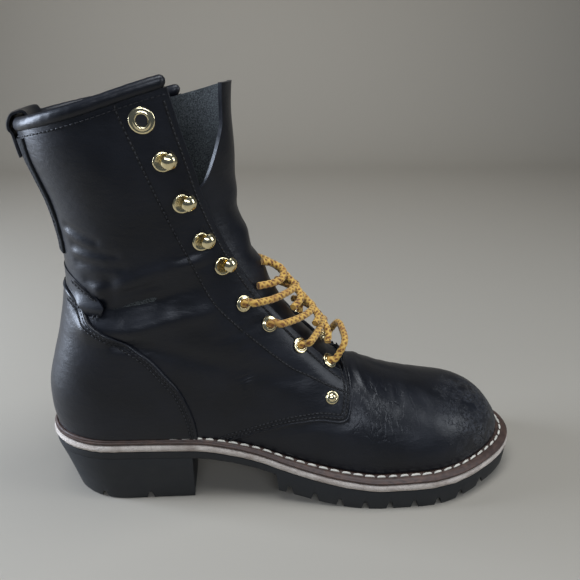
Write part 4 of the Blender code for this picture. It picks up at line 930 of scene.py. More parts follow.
def on_face(x, z, side, lift=0.0):
    """Points over the outer face, creases and all, and their normals."""
    x = np.asarray(x, dtype=float)
    z = np.asarray(z, dtype=float)
    normal = outward(x, z, side)
    base = np.stack((x, surface_y(x, z, side), z), axis=-1)
    rise = relief(x, z, side) + vamp_drop(x, z) + lift
    return base + normal * np.asarray(rise)[..., None], normal


def run_along(points):
    """Length from the first point to each one."""
    return np.concatenate(([0.0], np.cumsum(np.linalg.norm(np.diff(points, axis=0), axis=1))))


def resampled(points, count):
    """Even points along a smooth curve through the chosen ones, of two or three coordinates."""
    points = np.asarray(points, dtype=float)
    run = run_along(points)
    fine = np.linspace(0, run[-1], count)
    padded = np.vstack((2 * points[0] - points[1], points, 2 * points[-1] - points[-2]))
    cell = np.clip(np.searchsorted(run, fine, side="right") - 1, 0, len(points) - 2)
    t = ((fine - run[cell]) / (run[cell + 1] - run[cell]))[:, None]
    before, start, end, after = (padded[cell + shift] for shift in range(4))
    return 0.5 * (2 * start + (end - before) * t + (2 * before - 5 * start + 4 * end - after) * t * t
                  + (3 * start - before - 3 * end + after) * t ** 3)


def shifted(line, distance):
    """Side-view line moved to its left by a distance."""
    line = resampled(line, 160)
    heading = unit(np.gradient(line, axis=0))
    left = np.column_stack((-heading[:, 1], heading[:, 0]))
    moved = line + left * distance
    keep = line_distance(moved[:, 0], moved[:, 1], line) > abs(distance) * 0.96
    return moved[keep]


STITCH_RINGS = (
    (-0.5, 0.20, -0.55), (-0.36, 0.85, -0.05), (0.0, 1.0, 0.15), (0.36, 0.85, -0.05),
    (0.5, 0.20, -0.55),
)
STITCH_SIDES = 6
STITCH_SPAN = 0.0004


def stitch_row(name, points, normals, pitch, length, radius, slot, slant=0.0):
    """Row of stitches along a run of points, one joined mesh."""
    run = run_along(points)
    count = max(int(run[-1] / pitch), 1)
    places = (np.arange(count) + 0.5) * run[-1] / count

    def at_run(values, where):
        return np.stack([np.interp(where, run, values[:, axis]) for axis in range(3)], axis=-1)

    centre = at_run(points, places)
    normal = unit(at_run(normals, places))
    tangent = unit(at_run(points, places + STITCH_SPAN) - at_run(points, places - STITCH_SPAN))
    aside = np.cross(normal, tangent)
    tangent = tangent + aside * slant
    wobble = rng.uniform(0.9, 1.1, count)
    rings = []
    for at, width, sink in STITCH_RINGS:
        for number in range(STITCH_SIDES):
            turn = 2 * math.pi * number / STITCH_SIDES
            rings.append(centre + tangent * (at * length * wobble)[:, None]
                         + aside * (radius * width * math.cos(turn))
                         + normal * (radius * (width * math.sin(turn) + sink)))
    vertices = np.stack(rings, axis=1).reshape(-1, 3)
    each = len(rings)
    faces = []
    for number in range(count):
        first = number * each
        for ring in range(len(STITCH_RINGS) - 1):
            for turn in range(STITCH_SIDES):
                a = first + ring * STITCH_SIDES + turn
                b = first + ring * STITCH_SIDES + (turn + 1) % STITCH_SIDES
                faces.append([a, b, b + STITCH_SIDES, a + STITCH_SIDES])
        faces.append([first + turn for turn in reversed(range(STITCH_SIDES))])
        faces.append([first + each - STITCH_SIDES + turn for turn in range(STITCH_SIDES)])
    mesh_object(name, vertices, faces, slot, sharp=180)


THICK_THREAD = 0.00044
THIN_THREAD = 0.00036
STITCH_PITCH = 0.0026
STITCH_LENGTH = 0.0020
# Half width and lift of the flat ribbon of painted groove shade under each stitch row.
SHADE_RIBBON_HALF = 0.00080
SHADE_RIBBON_LIFT = 0.00012


def seam_row(name, line, side, lift=0.0):
    """Stitches on the upper along a side-view line, over a flat near-black ribbon of painted groove shade."""
    line = resampled(line, 240)
    points, normals = on_face(line[:, 0], line[:, 1], side, lift)
    aside = unit(np.cross(normals, np.gradient(points, axis=0)))
    # Flat near-black ribbon along the row: painted shade of a thread groove that the mesh does not have.
    layers = [points + aside * SHADE_RIBBON_HALF * across + normals * SHADE_RIBBON_LIFT * rise
              for across, rise in ((-1.0, 0.0), (-0.55, 1.0), (0.55, 1.0), (1.0, 0.0))]
    index = np.arange(len(line) * 4).reshape(4, len(line))
    faces = grid_quads(index, side == LATERAL).tolist()
    mesh_object(f"{name}_groove", np.vstack(layers), faces, "painted_groove_shade", sharp=180)
    stitch_row(name, points + normals * SHADE_RIBBON_LIFT, normals,
               STITCH_PITCH, STITCH_LENGTH, THICK_THREAD, "thread_and_bore_shade")


def both_sides(x, z):
    """Grid on both sides of the upper from one side's, joined along its first column at the back seam."""
    points = np.stack([np.stack((x, surface_y(x, z, side), z), axis=-1) for side in (LATERAL, MEDIAL)])
    points[:, :, 0, 1] = (spine(x) * (1 - hand_over(z)))[:, 0]
    index = np.arange(points[..., 0].size).reshape(points.shape[:3])
    index[1, :, 0] = index[0, :, 0]
    sides = sides_of(index)
    return points.reshape(-1, 3), quads_of(index), sides


def edge_curve(source, count):
    knots = np.arange(len(source["along"]))
    places = np.linspace(0, knots[-1], count)
    return np.column_stack((along(smooth(knots, source["along"], places)),
                            height_of(smooth(knots, source["up"], places))))


EDGE_SOFT = 0.0010


def overlay_height(edge, bead):
    """Outer height of an overlay, rounded down to its edge line."""
    def height(points, sides):
        away = line_distance(points[:, 0], points[:, 2], edge)
        rounding = rounded(away / EDGE_SOFT, 2)
        swell = bead * np.exp(-((away - 0.0012) / 0.0009) ** 2)
        return GAP + OVERLAY * rounding + swell + relief(points[:, 0], points[:, 2], sides)
    return height


def under_height(points, sides):
    return relief(points[:, 0], points[:, 2], sides) - 0.0002


COUNTER_EDGE = edge_curve(COUNTER, 300)
BEFORE_BACK = COUNTER_EDGE[:, 0] >= leg_back(COUNTER_EDGE[:, 1])
OVER_FEATHER = COUNTER_EDGE[:, 1] >= feather(COUNTER_EDGE[:, 0])
COUNTER_EDGE = resampled(COUNTER_EDGE[BEFORE_BACK & OVER_FEATHER], 110)
COUNTER_INSETS = (0.0024, 0.0046)
NEAR_EDGE = np.array((0.0024, 0.0015, 0.0009, 0.0005, 0.0002, 0.0))


def make_counter():
    ends = COUNTER_EDGE
    lift = np.maximum(ends[:, 1] - feather(ends[:, 0]), 0.0)
    lift[0] = lift[0] + 0.0004
    start = leg_back(SEAT + lift)
    for _ in range(4):
        start = leg_back(feather(start) + lift)
    length = np.maximum(ends[:, 0] - start, 0.0)
    s = np.linspace(0, 1, 34)
    inner = (0.10 * s + 0.90 * s ** 1.8)[None, :] * np.maximum(length - 0.0036, 0.3 * length)[:, None]
    shrunk = (0.6 * length)[:, None] * NEAR_EDGE[None, :] / NEAR_EDGE[0]
    outer = length[:, None] - np.minimum(NEAR_EDGE[None, :], shrunk)
    x = start[:, None] + np.hstack((inner, outer))
    z = feather(x) + lift[:, None]
    points, quads, sides = both_sides(x, z)

    def snap(used, moved):
        at_foot = points[used, 2] <= feather(points[used, 0]) + 10 * WELD
        moved[at_foot, 2] = feather(moved[at_foot, 0])

    height = overlay_height(COUNTER_EDGE, 0.0005)
    counter = sheet("counter_look", points, quads, sides, height, under_height, "black_leather", snap)
    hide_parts("counter")
    for side, label in BOTH:
        for number, inset in enumerate(COUNTER_INSETS):
            row = shifted(COUNTER_EDGE[6:], -inset)
            row = row[(row[:, 1] > feather(row[:, 0]) + 0.001) & (row[:, 0] > leg_back(row[:, 1]) + 0.004)]
            seam_row(f"counter_stitch_{label}_{number}", row, side, GAP + OVERLAY)


BAND_UPPER = table(
    "along up",
    (-0.060, 0.520), (0.050, 0.492), (0.093, 0.462), (0.138, 0.418), (0.151, 0.398),
)
BAND_LOWER = table("along up", (0.120, 0.352), (0.130, 0.358), (0.142, 0.370), (0.151, 0.392))
BAND_TIP = 0.151
BAND_INSETS = (0.0045, 0.0070)
BAND_ROWS = ((0, 0.06, 3), (0.12, 0.88, 12), (0.94, 1, 3))


def make_ankle_band():
    order = np.argsort(COUNTER["along"])
    counter_x, counter_z = along(COUNTER["along"][order]), height_of(COUNTER["up"][order])

    def lower(x):
        from_counter = smooth(counter_x, counter_z, x) + 0.0005
        tip = height_of(smooth(BAND_LOWER["along"], BAND_LOWER["up"], share_of(x)))
        return np.where(share_of(x) > BAND_LOWER["along"][0], np.maximum(from_counter, tip), from_counter)

    def upper(x):
        return height_of(smooth(BAND_UPPER["along"], BAND_UPPER["up"], share_of(x)))

    t = np.concatenate([np.linspace(*rows) for rows in BAND_ROWS])[:, None]
    height = np.full(len(t), float(height_of(0.47)))
    for _ in range(6):
        start = leg_back(height)
        height = lower(start) + t[:, 0] * (upper(start) - lower(start))
    s = np.linspace(0, 1, 40)[None, :]
    x = start[:, None] + (along(BAND_TIP) - start)[:, None] * (0.10 * s + 0.90 * s ** 1.6)
    low, high = lower(x), upper(x)
    z = low + t * (high - low)
    z[:, 0] = height
    points, quads, sides = both_sides(x, z)
    edge = np.vstack((np.column_stack((x[-1], z[-1])), np.column_stack((x[0], z[0]))[::-1]))
    plain = overlay_height(edge, 0.0004)
    seam = HEEL_BACK + 0.028

    def padded(points, sides):
        middle = (lower(points[:, 0]) + upper(points[:, 0])) / 2
        across = np.exp(-((points[:, 2] - middle) / 0.0075) ** 2)
        return plain(points, sides) + 0.0019 * across * np.exp(-((points[:, 0] - seam) / 0.016) ** 2)

    band = sheet("ankle_band_look", points, quads, sides, padded, under_height, "black_leather")
    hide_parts("ankle_band")
    tip = np.column_stack((x[:, -1], z[:, -1]))
    for side, label in BOTH:
        for number, inset in enumerate(BAND_INSETS):
            x_row = float(along(BAND_TIP)) - inset - 0.004 * (tip[:, 1] - tip[0, 1]) / 0.01
            z_row = lower(x_row) + np.linspace(0.06, 0.94, len(x_row)) * (upper(x_row) - lower(x_row))
            seam_row(f"ankle_stitch_{label}_{number}", np.column_stack((x_row, z_row)), side, GAP + OVERLAY)
        run = np.linspace(0.008, 0.023, 30) + leg_back(0.146)
        row = np.column_stack((run, upper(run) - 0.0022))
        seam_row(f"ankle_top_stitch_{label}", row, side, GAP + OVERLAY)


def back_at(y, z):
    """X of the leg's back face at a distance from the seam."""
    share = np.minimum(np.abs(y) / leg_width(z), 0.999)
    depth = 1 - (1 - share ** ROUND_POWER) ** (1 / ROUND_POWER)
    return leg_back(z) + depth * LEG_ROUND * SOLE_LENGTH


STRAP_ROWS = 60
STRAP_COLUMNS = 36


def strap(z_low, z_high):
    """Backstay, a strip up the back seam between two heights; returns its grid."""
    t = np.linspace(0, 1, STRAP_ROWS)[:, None]
    across = np.sin(np.linspace(-0.5, 0.5, STRAP_COLUMNS) * math.pi)[None, :]
    half = (BACKSTAY_FOOT + (BACKSTAY_TOP - BACKSTAY_FOOT) * t) / 2
    y = half * across
    z = z_low + (z_high - z_low) * t + np.zeros_like(y)
    for _ in range(3):
        x = back_at(y, z)
        top = z_high + (rim_height(x) - rim_height(x[:, STRAP_COLUMNS // 2]).max())
        z = z_low + t * (top - z_low)
    points = np.stack((x, y, z), axis=-1)
    index = np.arange(x.size).reshape(x.shape)
    sides = np.where(y.reshape(-1) < 0, LATERAL, MEDIAL)
    away = np.minimum(half - np.abs(y), (z - z_low) + 0.0002).reshape(-1)

    def outer(base, sides):
        crease = 0.35 * relief(base[:, 0] + 0.006, base[:, 2], sides)
        return GAP + OVERLAY * rounded(np.maximum(away, 0) / EDGE_SOFT, 2) + crease

    made = sheet("backstay_look", points.reshape(-1, 3), grid_quads(index, True), sides, outer,
                 level_at(GAP - 0.0004), "strap_side")
    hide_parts("backstay")
    return points


def make_backstay():
    foot = float(height_of(ANKLE_BAND["up"][0])) + 2 * GAP
    rim = float(rim_height(leg_back(height_of(COLLAR_BACK_UP)))) - GAP
    points = strap(foot, rim)
    for column, label in ((0, "lateral"), (-1, "medial")):
        line = points[2:-2, column].copy()
        line[:, 1] *= 0.86
        line[:, 0] = back_at(line[:, 1], line[:, 2])
        normal = unit(np.column_stack((-np.ones(len(line)), np.sign(line[:, 1]) * 0.6, np.zeros(len(line)))))
        stitch_row(f"backstay_stitch_{label}", line + normal * (GAP + OVERLAY), normal,
                   STITCH_PITCH, STITCH_LENGTH, THIN_THREAD, "thread_and_bore_shade")


ROUND_RIM = np.concatenate((INDEX[0, 0, QUARTER_END::-1], INDEX[1, 0, 1:QUARTER_END + 1]))
RIM_LINE = POINTS[ROUND_RIM]
RIM_QUADS = [grid_quads(INDEX[number, :3, :QUARTER_END + 1], number == 0) for number in (0, 1)]
RIM_NORMALS = normals_of(POINTS, np.vstack(RIM_QUADS))[ROUND_RIM]


def circle(count):
    """Even angles round a circle."""
    return 2 * math.pi * np.arange(count) / count


def tube(name, centres, across, upright, sides, slot, size=None, braid_shade_and_fleck=None):
    """Tube round a line: across and upright are each centre's half axes."""
    turns = circle(sides)
    size = np.ones((len(centres), sides)) if size is None else size
    points = centres[:, None, :] + size[..., None] * (across[:, None, :] * np.cos(turns)[None, :, None]
                                                      + upright[:, None, :] * np.sin(turns)[None, :, None])
    index = np.arange(len(centres) * sides).reshape(len(centres), sides)
    wrapped = np.hstack((index, index[:, :1]))
    faces = grid_quads(wrapped, False).tolist() + [index[0].tolist(), index[-1, ::-1].tolist()]
    made = mesh_object(name, points.reshape(-1, 3), faces, slot, sharp=75)
    turn_outward(made)
    if braid_shade_and_fleck is not None:
        layer = made.data.attributes.new("braid_shade_and_fleck", "FLOAT", "POINT")
        layer.data.foreach_set("value", braid_shade_and_fleck.reshape(-1))
    return made


ROLL_STATIONS = 220


def make_collar():
    flat = unit(RIM_NORMALS * np.array((1, 1, 0)))
    centres = RIM_LINE - flat * WALL / 2
    rim_side = np.where(np.arange(len(RIM_LINE)) <= QUARTER_END, LATERAL, MEDIAL)
    centres[:, 2] = rim_height(centres[:, 0], rim_side) + COLLAR_ROLL_HEIGHT / 2 - 0.0006
    centres = resampled(centres, ROLL_STATIONS)
    flat = unit(resampled(flat, ROLL_STATIONS))
    place = np.arange(ROLL_STATIONS)
    ends = rounded(np.minimum(place, place[::-1]) / 4 + 0.06, 2)[:, None]
    pinch = 1 + 0.02 * np.sin(place * 0.9) * np.sin(place * 0.23)
    tilted = flat.copy()
    tilted[:, 2] = flat[:, 0] * rim_slope()
    across = tilted * (COLLAR_ROLL_WIDTH / 2 + 0.0001) * ends * pinch[:, None]
    upright = np.array((0, 0, COLLAR_ROLL_HEIGHT / 2 + 0.0002))[None, :] * ends * pinch[:, None]
    roll = tube("collar_look", centres, across, upright, 18, "black_leather")
    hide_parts("collar_roll")
    line = RIM_LINE.copy()
    line[:, 2] -= 0.0032
    stitch_row("collar_stitch", line + RIM_NORMALS * 0.0001, RIM_NORMALS,
               0.0028, 0.0021, THIN_THREAD, "thread_and_bore_shade")


def make_pull_loop():
    outer = 2 * GAP + OVERLAY + PULL_LOOP_THICK / 2
    inner = -WALL - 2 * GAP - PULL_LOOP_THICK / 2
    side = COLLAR_ROLL_WIDTH * 0.53 + 4 * GAP + PULL_LOOP_THICK / 2
    middle = -WALL / 2
    top = COLLAR_ROLL_HEIGHT + 3 * GAP + PULL_LOOP_THICK / 2
    low, bend, high = (share * COLLAR_ROLL_HEIGHT for share in (-0.25, 0.2, 0.68))
    crown = ((side, bend), (side, high), (0.60 * side, 0.95 * top), (0.0, top))
    path = [(outer, -PULL_LOOP_DROP), (outer, low)] + [(middle + out, up) for out, up in crown]
    path += [(middle - out, up) for out, up in crown[-2::-1]] + [(inner, low), (inner, -PULL_LOOP_DROP)]
    path = resampled(path, 60)
    heading = unit(np.gradient(path, axis=0))
    left = np.column_stack((-heading[:, 1], heading[:, 0]))
    y = np.linspace(-PULL_LOOP_WIDTH / 2, PULL_LOOP_WIDTH / 2, 25)
    vertices = []
    for lift in (0.5, -0.5):
        for station in y:
            soft = 1 - 0.35 * (abs(station) / (PULL_LOOP_WIDTH / 2)) ** 8
            for (out, up), (aside, rise) in zip(path, left):
                out_here = out + aside * PULL_LOOP_THICK * lift * soft
                up_here = up + rise * PULL_LOOP_THICK * lift * soft
                rim = float(rim_height(back_at(station, float(height_of(COLLAR_BACK_UP)))))
                level = min(rim + up_here, rim)
                lean = (back_at(station + GAP, level) - back_at(station - GAP, level)) / (2 * GAP)
                step = out_here / math.hypot(1.0, lean)
                x = back_at(station, level) - step
                vertices.append((x, station + step * lean, float(rim_height(x)) + up_here))
    index = np.arange(len(vertices)).reshape(2, len(y), len(path))
    front = grid_quads(index[0], False)
    count = index[0].size
    faces = front.tolist() + grid_quads(index[1], True).tolist()
    faces += [[end, start, start + count, end + count] for end, start, _, _ in rim_faces(front, count)]
    made = mesh_object("pull_loop_look", vertices, faces, "black_leather", sharp=50)
    turn_outward(made)
    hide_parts("pull_loop")


# Tongue

TONGUE_CUT = ((196.0, 104.5), (203.0, 108.0), (211.0, 112.0), (226.0, 117.0), (239.0, 120.4), (262.0, 121.6))
TONGUE_FOLDS = (
    (172.5, 5.0, 3.2), (161.0, 3.6, -2.2), (150.0, 5.0, 2.4), (138.0, 4.0, -1.3), (186.0, 5.0, -1.6),
    (196.0, 5.0, 1.2),
)
TONGUE_TUCK = 0.009


def make_tongue():
    rows = 190
    foot = int(np.argmin(np.abs(NEAR - TONGUE_FOOT)))
    place = np.linspace(0, FAN["row"][-1] * foot / (len(NEAR) - 1), rows + 1)
    _, _, far, span, length, edge = fan_lines(place)
    edge = edge - TONGUE_TUCK / length
    cut = np.array(TONGUE_CUT) * MM
    columns = 30
    grids = []
    for side in (LATERAL, MEDIAL):
        start = edge.copy()
        if side == LATERAL:
            for _ in range(5):
                z_here = far[1] + start * span[1]
                x_cut = HEEL_BACK + smooth(cut[:, 0], cut[:, 1], z_here)
                free = (x_cut - far[0]) / span[0]
                upper = step_between(0.190, 0.206, z_here)
                start = edge + np.clip(free - edge, 0, 1) * upper
        s = np.linspace(0, 1, columns + 1)[None, :]
        t = start[:, None] + (1 - start[:, None]) * (1 - (1 - s) ** 1.7)
        x, z = between(far, span, t)
        grids.append(bent_rim(x, z, place, side))
    points = np.stack(grids)
    middle = spine(points[..., 0]) * (1 - hand_over(points[..., 2]))
    points[:, :, -1, 1] = middle[:, :, -1]
    index = np.arange(points[..., 0].size).reshape(points.shape[:3])
    index[1, :, -1] = index[0, :, -1]
    sides = sides_of(index)
    low = -WALL - TONGUE_GAP

    def outer(points, _):
        z = points[:, 2]
        fold = sum(depth * MM * np.exp(-((z - height * MM - 0.10 * points[:, 1]) / (width * MM)) ** 2)
                   for height, width, depth in TONGUE_FOLDS)
        edge_gap = step_between(0.0, 0.018, leg_front(z) + 0.010 - points[:, 0])
        return low + fold * (1 - edge_gap) + 0.0008 * np.sin(95 * z + 30 * points[:, 1])

    def inner(points, sides):
        return outer(points, sides) - TONGUE_THICK

    def snap(used, moved):
        top = np.isin(used, index[:, 0, :])
        moved[top, 2] = rim_height(moved[top, 0], sides[used][top])

    tongue = sheet("tongue_look", points.reshape(-1, 3), quads_of(index), sides, outer, inner,
                   "black_leather", snap, "flesh_side")
    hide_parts("tongue")


# Sole unit

LOOP_STATIONS = 150


def stations():
    """Places along the sole, closer together at the ends."""
    even = np.linspace(0, 1, LOOP_STATIONS)
    t = 0.85 * (0.5 - 0.5 * np.cos(np.pi * even)) + 0.15 * even
    return along(0) + t * (along(1) - along(0))


def sole_loop(inset, height):
    """Closed loop round the sole: the inset and the height may follow the station."""
    loops = []
    for side, step in ((LATERAL, 1), (MEDIAL, -1)):
        base = stations()
        depth = inset(base) if callable(inset) else np.full(LOOP_STATIONS, inset)
        ends = float(depth[0]), float(depth[-1])
        t = (base - base[0]) / (base[-1] - base[0])
        x = base[0] + ends[0] + t * (base[-1] - base[0] - ends[0] - ends[1])
        y = sole_edge(x, side, depth)
        y[0] = spine(x[0])
        y[-1] = spine(x[-1])
        loops.append(np.column_stack((x, y, height(x)))[::step])
    return np.vstack((loops[0], loops[1][1:-1]))


def ring(name, loops, slot, node):
    """Band through closed loops, the last joined to the first."""
    count = len(loops[0])
    index = np.arange(len(loops) * count).reshape(len(loops), count)
    index = np.vstack((index, index[:1]))
    wrapped = np.hstack((index, index[:, :1]))
    made = mesh_object(name, np.vstack(loops), grid_quads(wrapped, False).tolist(), slot, sharp=45)
    turn_outward(made)
    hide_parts(node)


def ragged(x):
    """Small unevenness of the midsole's lower edge."""
    return 0.00022 * (np.sin(870 * x + 1.3) * np.sin(1310 * x) + 0.6 * np.sin(2300 * x + 0.4))


def above(base, rise):
    return lambda x: base(x) + rise


def make_midsole():
    def rough_foot(x):
        return platform(x) + 0.0004 + ragged(x)

    rings = (
        (0.014, platform), (0.0006, platform), (0.0001, rough_foot), (-0.0006, above(platform, MIDSOLE / 2)),
        (0.0001, above(midsole_top, -0.0004)), (0.0006, midsole_top), (0.014, midsole_top),
    )
    ring("midsole_look", [sole_loop(*each) for each in rings], "off_white_midsole", "midsole")


def make_welt():
    def inner(x):
        return show_of(x) + WALL + 0.0006

    def share_in(share):
        return lambda x: 0.0004 + share * show_of(x)

    rings = (
        (inner, 0.0), (0.0006, 0.0), (0.0002, 0.0006), (0.0002, 0.0017), (0.0008, 0.0020),
        (share_in(0.16), 0.0029), (share_in(0.30), WELT - 0.0001), (share_in(0.50), WELT),
        (share_in(0.56), WELT - 0.0005), (share_in(0.72), WELT - 0.0005), (share_in(0.78), WELT),
        (inner, WELT),
    )
    loops = [sole_loop(inset, above(welt_low, rise)) for inset, rise in rings]
    ring("welt_look", loops, "brown_welt", "welt")
    for side, label in BOTH:
        x = np.linspace(along(0.245), along(0.985), 900)
        inset = 0.0004 + 0.64 * show_of(x)
        line = np.column_stack((x, sole_edge(x, side, inset), welt_top(x) + 0.0001))
        upward = np.tile((0.0, 0.0, 1.0), (len(x), 1))
        stitch_row(f"welt_stitch_{label}", line, upward, 0.0074, 0.0060, 0.00082, "cream_thread", 0.06)


def layered(name, profile, slot):
    """Closed block from loops of (lateral, medial) points, lowest first."""
    vertices = []
    rings = []
    for lateral, medial in profile:
        first = len(vertices)
        vertices.extend(lateral.tolist())
        second = len(vertices)
        vertices.extend(medial.tolist())
        count = len(lateral)
        rings.append((np.arange(first, first + count), np.arange(second, second + count)))
    faces = []
    for (low_l, low_m), (high_l, high_m) in zip(rings[:-1], rings[1:]):
        faces += grid_quads(np.stack((low_l, high_l)), True).tolist()
        faces += grid_quads(np.stack((low_m, high_m)), False).tolist()
        for place, flip in ((0, False), (-1, True)):
            end = [low_m[place], low_l[place], high_l[place], high_m[place]]
            faces.append([int(corner) for corner in (end[::-1] if flip else end)])
    for (left, right), flip in ((rings[0], False), (rings[-1], True)):
        faces += grid_quads(np.stack((left, right)), flip).tolist()
    made = mesh_object(name, vertices, faces, slot)
    turn_outward(made, WELD, WELD / 10)
    return made


def prism(corners, axis, low, high):
    """Cutter drawn out along an axis from a closed outline."""
    shape = bmesh.new()
    bottom = [shape.verts.new((u, low, v) if axis == "y" else (u, v, low)) for u, v in corners]
    top = [shape.verts.new((u, high, v) if axis == "y" else (u, v, high)) for u, v in corners]
    shape.faces.new(bottom)
    shape.faces.new(top[::-1])
    for place in range(len(corners)):
        after = (place + 1) % len(corners)
        shape.faces.new((bottom[place], top[place], top[after], bottom[after]))
    bmesh.ops.recalc_face_normals(shape, faces=shape.faces)
    return shape


def carve(target, cutters, bevel):
    """Cuts shapes out of a piece, applied, and rounds its edges by the bevel, if any."""
    joined = bpy.data.meshes.new("cutter")
    shape = bmesh.new()
    for cutter in cutters:
        part = bpy.data.meshes.new("one_cutter")
        cutter.to_mesh(part)
        cutter.free()
        shape.from_mesh(part)
        bpy.data.meshes.remove(part)
    shape.to_mesh(joined)
    shape.free()
    tool = bpy.data.objects.new("cutter", joined)
    bpy.context.scene.collection.objects.link(tool)
    change = target.modifiers.new("cut", "BOOLEAN")
    change.operation = "DIFFERENCE"
    change.object = tool
    change.solver = "EXACT"
    if bevel:
        edge = target.modifiers.new("edge", "BEVEL")
        edge.width = bevel
        edge.segments = 2
        edge.limit_method = "ANGLE"
        edge.angle_limit = math.radians(40)
    bpy.context.view_layer.update()
    made = bpy.data.meshes.new_from_object(target.evaluated_get(bpy.context.evaluated_depsgraph_get()))
    target.modifiers.clear()
    target.data = made
    bpy.data.objects.remove(tool)
    made.shade_smooth()
    made.set_sharp_from_angle(angle=math.radians(35))


def notch(x, ground):
    half = LUG_NOTCH_WIDTH / 2
    corners = ((x - half * 1.3, ground - LUG_NOTCH_DEPTH), (x + half * 1.3, ground - LUG_NOTCH_DEPTH),
               (x + half * 0.35, ground + LUG_NOTCH_DEPTH), (x - half * 0.35, ground + LUG_NOTCH_DEPTH))
    return prism(corners, "y", -BALL_WIDTH, BALL_WIDTH)


def make_outsole():
    start = float(along(TREAD_START))
    rear = along(0) + (start - along(0)) * np.linspace(0, 1, 50) ** 1.7
    front = start + 0.0016 + (along(1) - start - 0.0016) * (1 - np.linspace(1, 0, 80) ** 1.7)
    base = np.concatenate((rear, front))

    def low(x):
        return np.where(x <= start + 1e-6, platform(x) - SHANK, tread(x))

    def bevel(x):
        return low(x) + 0.30 * (platform(x) - low(x))

    profile = []
    for inset, height in ((0.0007, low), (0.0004, bevel), (0.0002, lambda x: platform(x) - GAP)):
        t = (base - base[0]) / (base[-1] - base[0])
        x = base[0] + inset + t * (base[-1] - base[0] - 2 * inset)
        z = height(base)
        profile.append([np.column_stack((x, sole_edge(x, side, inset), z)) for side in (LATERAL, MEDIAL)])
    sole = layered("outsole_look", profile, "black_rubber")
    places = [float(along(LUG_FIRST)) + number * LUG_PITCH for number in range(LUG_COUNT)]
    cutters = [notch(place, float(tread(place))) for place in places]
    middle = np.linspace(start + LUG_PITCH, float(along(1)) - LUG_PITCH * 1.6, 12)
    left, right = ([(x, float(spine(x)) - BALL_WIDTH * 0.03 + across * CHANNEL_WIDTH / 2) for x in middle]
                   for across in (-1, 1))
    carve(sole, cutters, 0.0)
    carve(sole, [prism(left + right[::-1], "z", -CHANNEL_DEPTH, CHANNEL_DEPTH)], 0.0005)
    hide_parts("outsole")


def make_heel():
    breast = float(along(BREAST))
    base = along(0) + (breast - along(0)) * np.linspace(0, 1, 44) ** 1.7
    profile = []
    for level in (0.0, 0.06, 0.35, 0.7, 1.0):
        inset = HEEL_FLARE_IN * (1 - level) + 0.0006 + 0.0008 * (level == 0.0)
        back = along(0) + HEEL_SLOPE * (1 - level) ** 0.85 + inset
        place = (base - base[0]) / (breast - base[0])
        x = back + place * (breast - back)
        reference = along(0) + inset + place * (breast - along(0) - inset)
        z = level * (platform(x) - SHANK - 0.00005)
        profile.append([np.column_stack((x, sole_edge(reference, side, inset), z))
                        for side in (LATERAL, MEDIAL)])
    heel = layered("heel_look", profile, "black_rubber")
    carve(heel, [notch(float(along(share)), 0.0) for share in HEEL_NOTCHES], 0.0006)
    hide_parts("heel")


# Hardware

def seat_on(x, z, side):
    """Placement on the upper: local Z outward, local X away from the throat."""
    point, normal = on_face(np.array([x]), np.array([z]), side)
    point, normal = Vector(point[0]), Vector(normal[0])
    away = Vector((-0.90, 0.0, -0.30))
    away = (away - normal * away.dot(normal)).normalized()
    across = normal.cross(away)
    return Matrix.Translation(point) @ Matrix((away, across, normal)).transposed().to_4x4()


def placed(name, points, faces, place, slot, node=None):
    points = np.asarray(points, dtype=float)
    turn = np.array(place.to_3x3())
    made = mesh_object(name, points @ turn.T + np.array(place.translation), faces, slot, sharp=50)
    turn_outward(made, WELD)
    if node:
        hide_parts(node)


TURNED_SIDES = 40


def turned(profile, closed=True):
    """Profile of (radius, height) in millimetres turned about Z."""
    profile = np.array(profile) * MM
    turns = circle(TURNED_SIDES)
    rings = [np.column_stack((r * np.cos(turns), r * np.sin(turns), np.full(TURNED_SIDES, h)))
             for r, h in profile]
    index = np.arange(len(profile) * TURNED_SIDES).reshape(len(profile), TURNED_SIDES)
    if closed:
        index = np.vstack((index, index[:1]))
    wrapped = np.hstack((index, index[:, :1]))
    return np.vstack(rings), grid_quads(wrapped, False).tolist()


EYELET_PROFILE = (
    (2.3, -2.6), (2.3, 0.6), (2.5, 1.05), (2.95, 1.25), (3.35, 1.10), (3.7, 0.85), (4.3, 0.95),
    (4.75, 0.85), (5.0, 0.55), (4.95, 0.2), (4.2, 0.12), (2.9, 0.12), (2.9, -2.6),
)
# Disc in each eyelet's bore, in the near-black thread finish: painted shade of the hole, as the upper under
# it is not cut.
EYELET_BORE_SHADE_PROFILE = ((0.0, 0.30), (2.35, 0.30), (2.35, 0.15), (0.0, 0.15))
RIVET_PROFILE = (
    (0.0, 2.3), (0.9, 2.25), (1.7, 2.0), (2.3, 1.55), (2.6, 1.25), (2.9, 1.30), (3.6, 1.25),
    (4.15, 0.95), (4.3, 0.5), (4.2, 0.1), (0.0, 0.1),
)
HOOK_BASE_PROFILE = (
    (0.0, 0.9), (3.4, 0.9), (3.9, 1.15), (4.6, 1.15), (5.1, 0.85), (5.2, 0.45), (5.0, 0.1), (0.0, 0.1),
)
HOOK_PATH = (
    (-4.6, 0.5), (-6.1, 2.3), (-5.9, 4.4), (-4.5, 6.1), (-2.3, 6.9), (0.1, 6.7), (1.7, 5.9), (2.5, 5.1),
)
HOOK_BASE_SHIFT = 1.4
CLAW_THICK = 0.0011
CLAW_DOME = 0.0016
HOOK_HALF = ((0.0, 2.7), (0.25, 3.0), (0.5, 3.7), (0.75, 3.6), (0.92, 2.2), (1.0, 0.5))


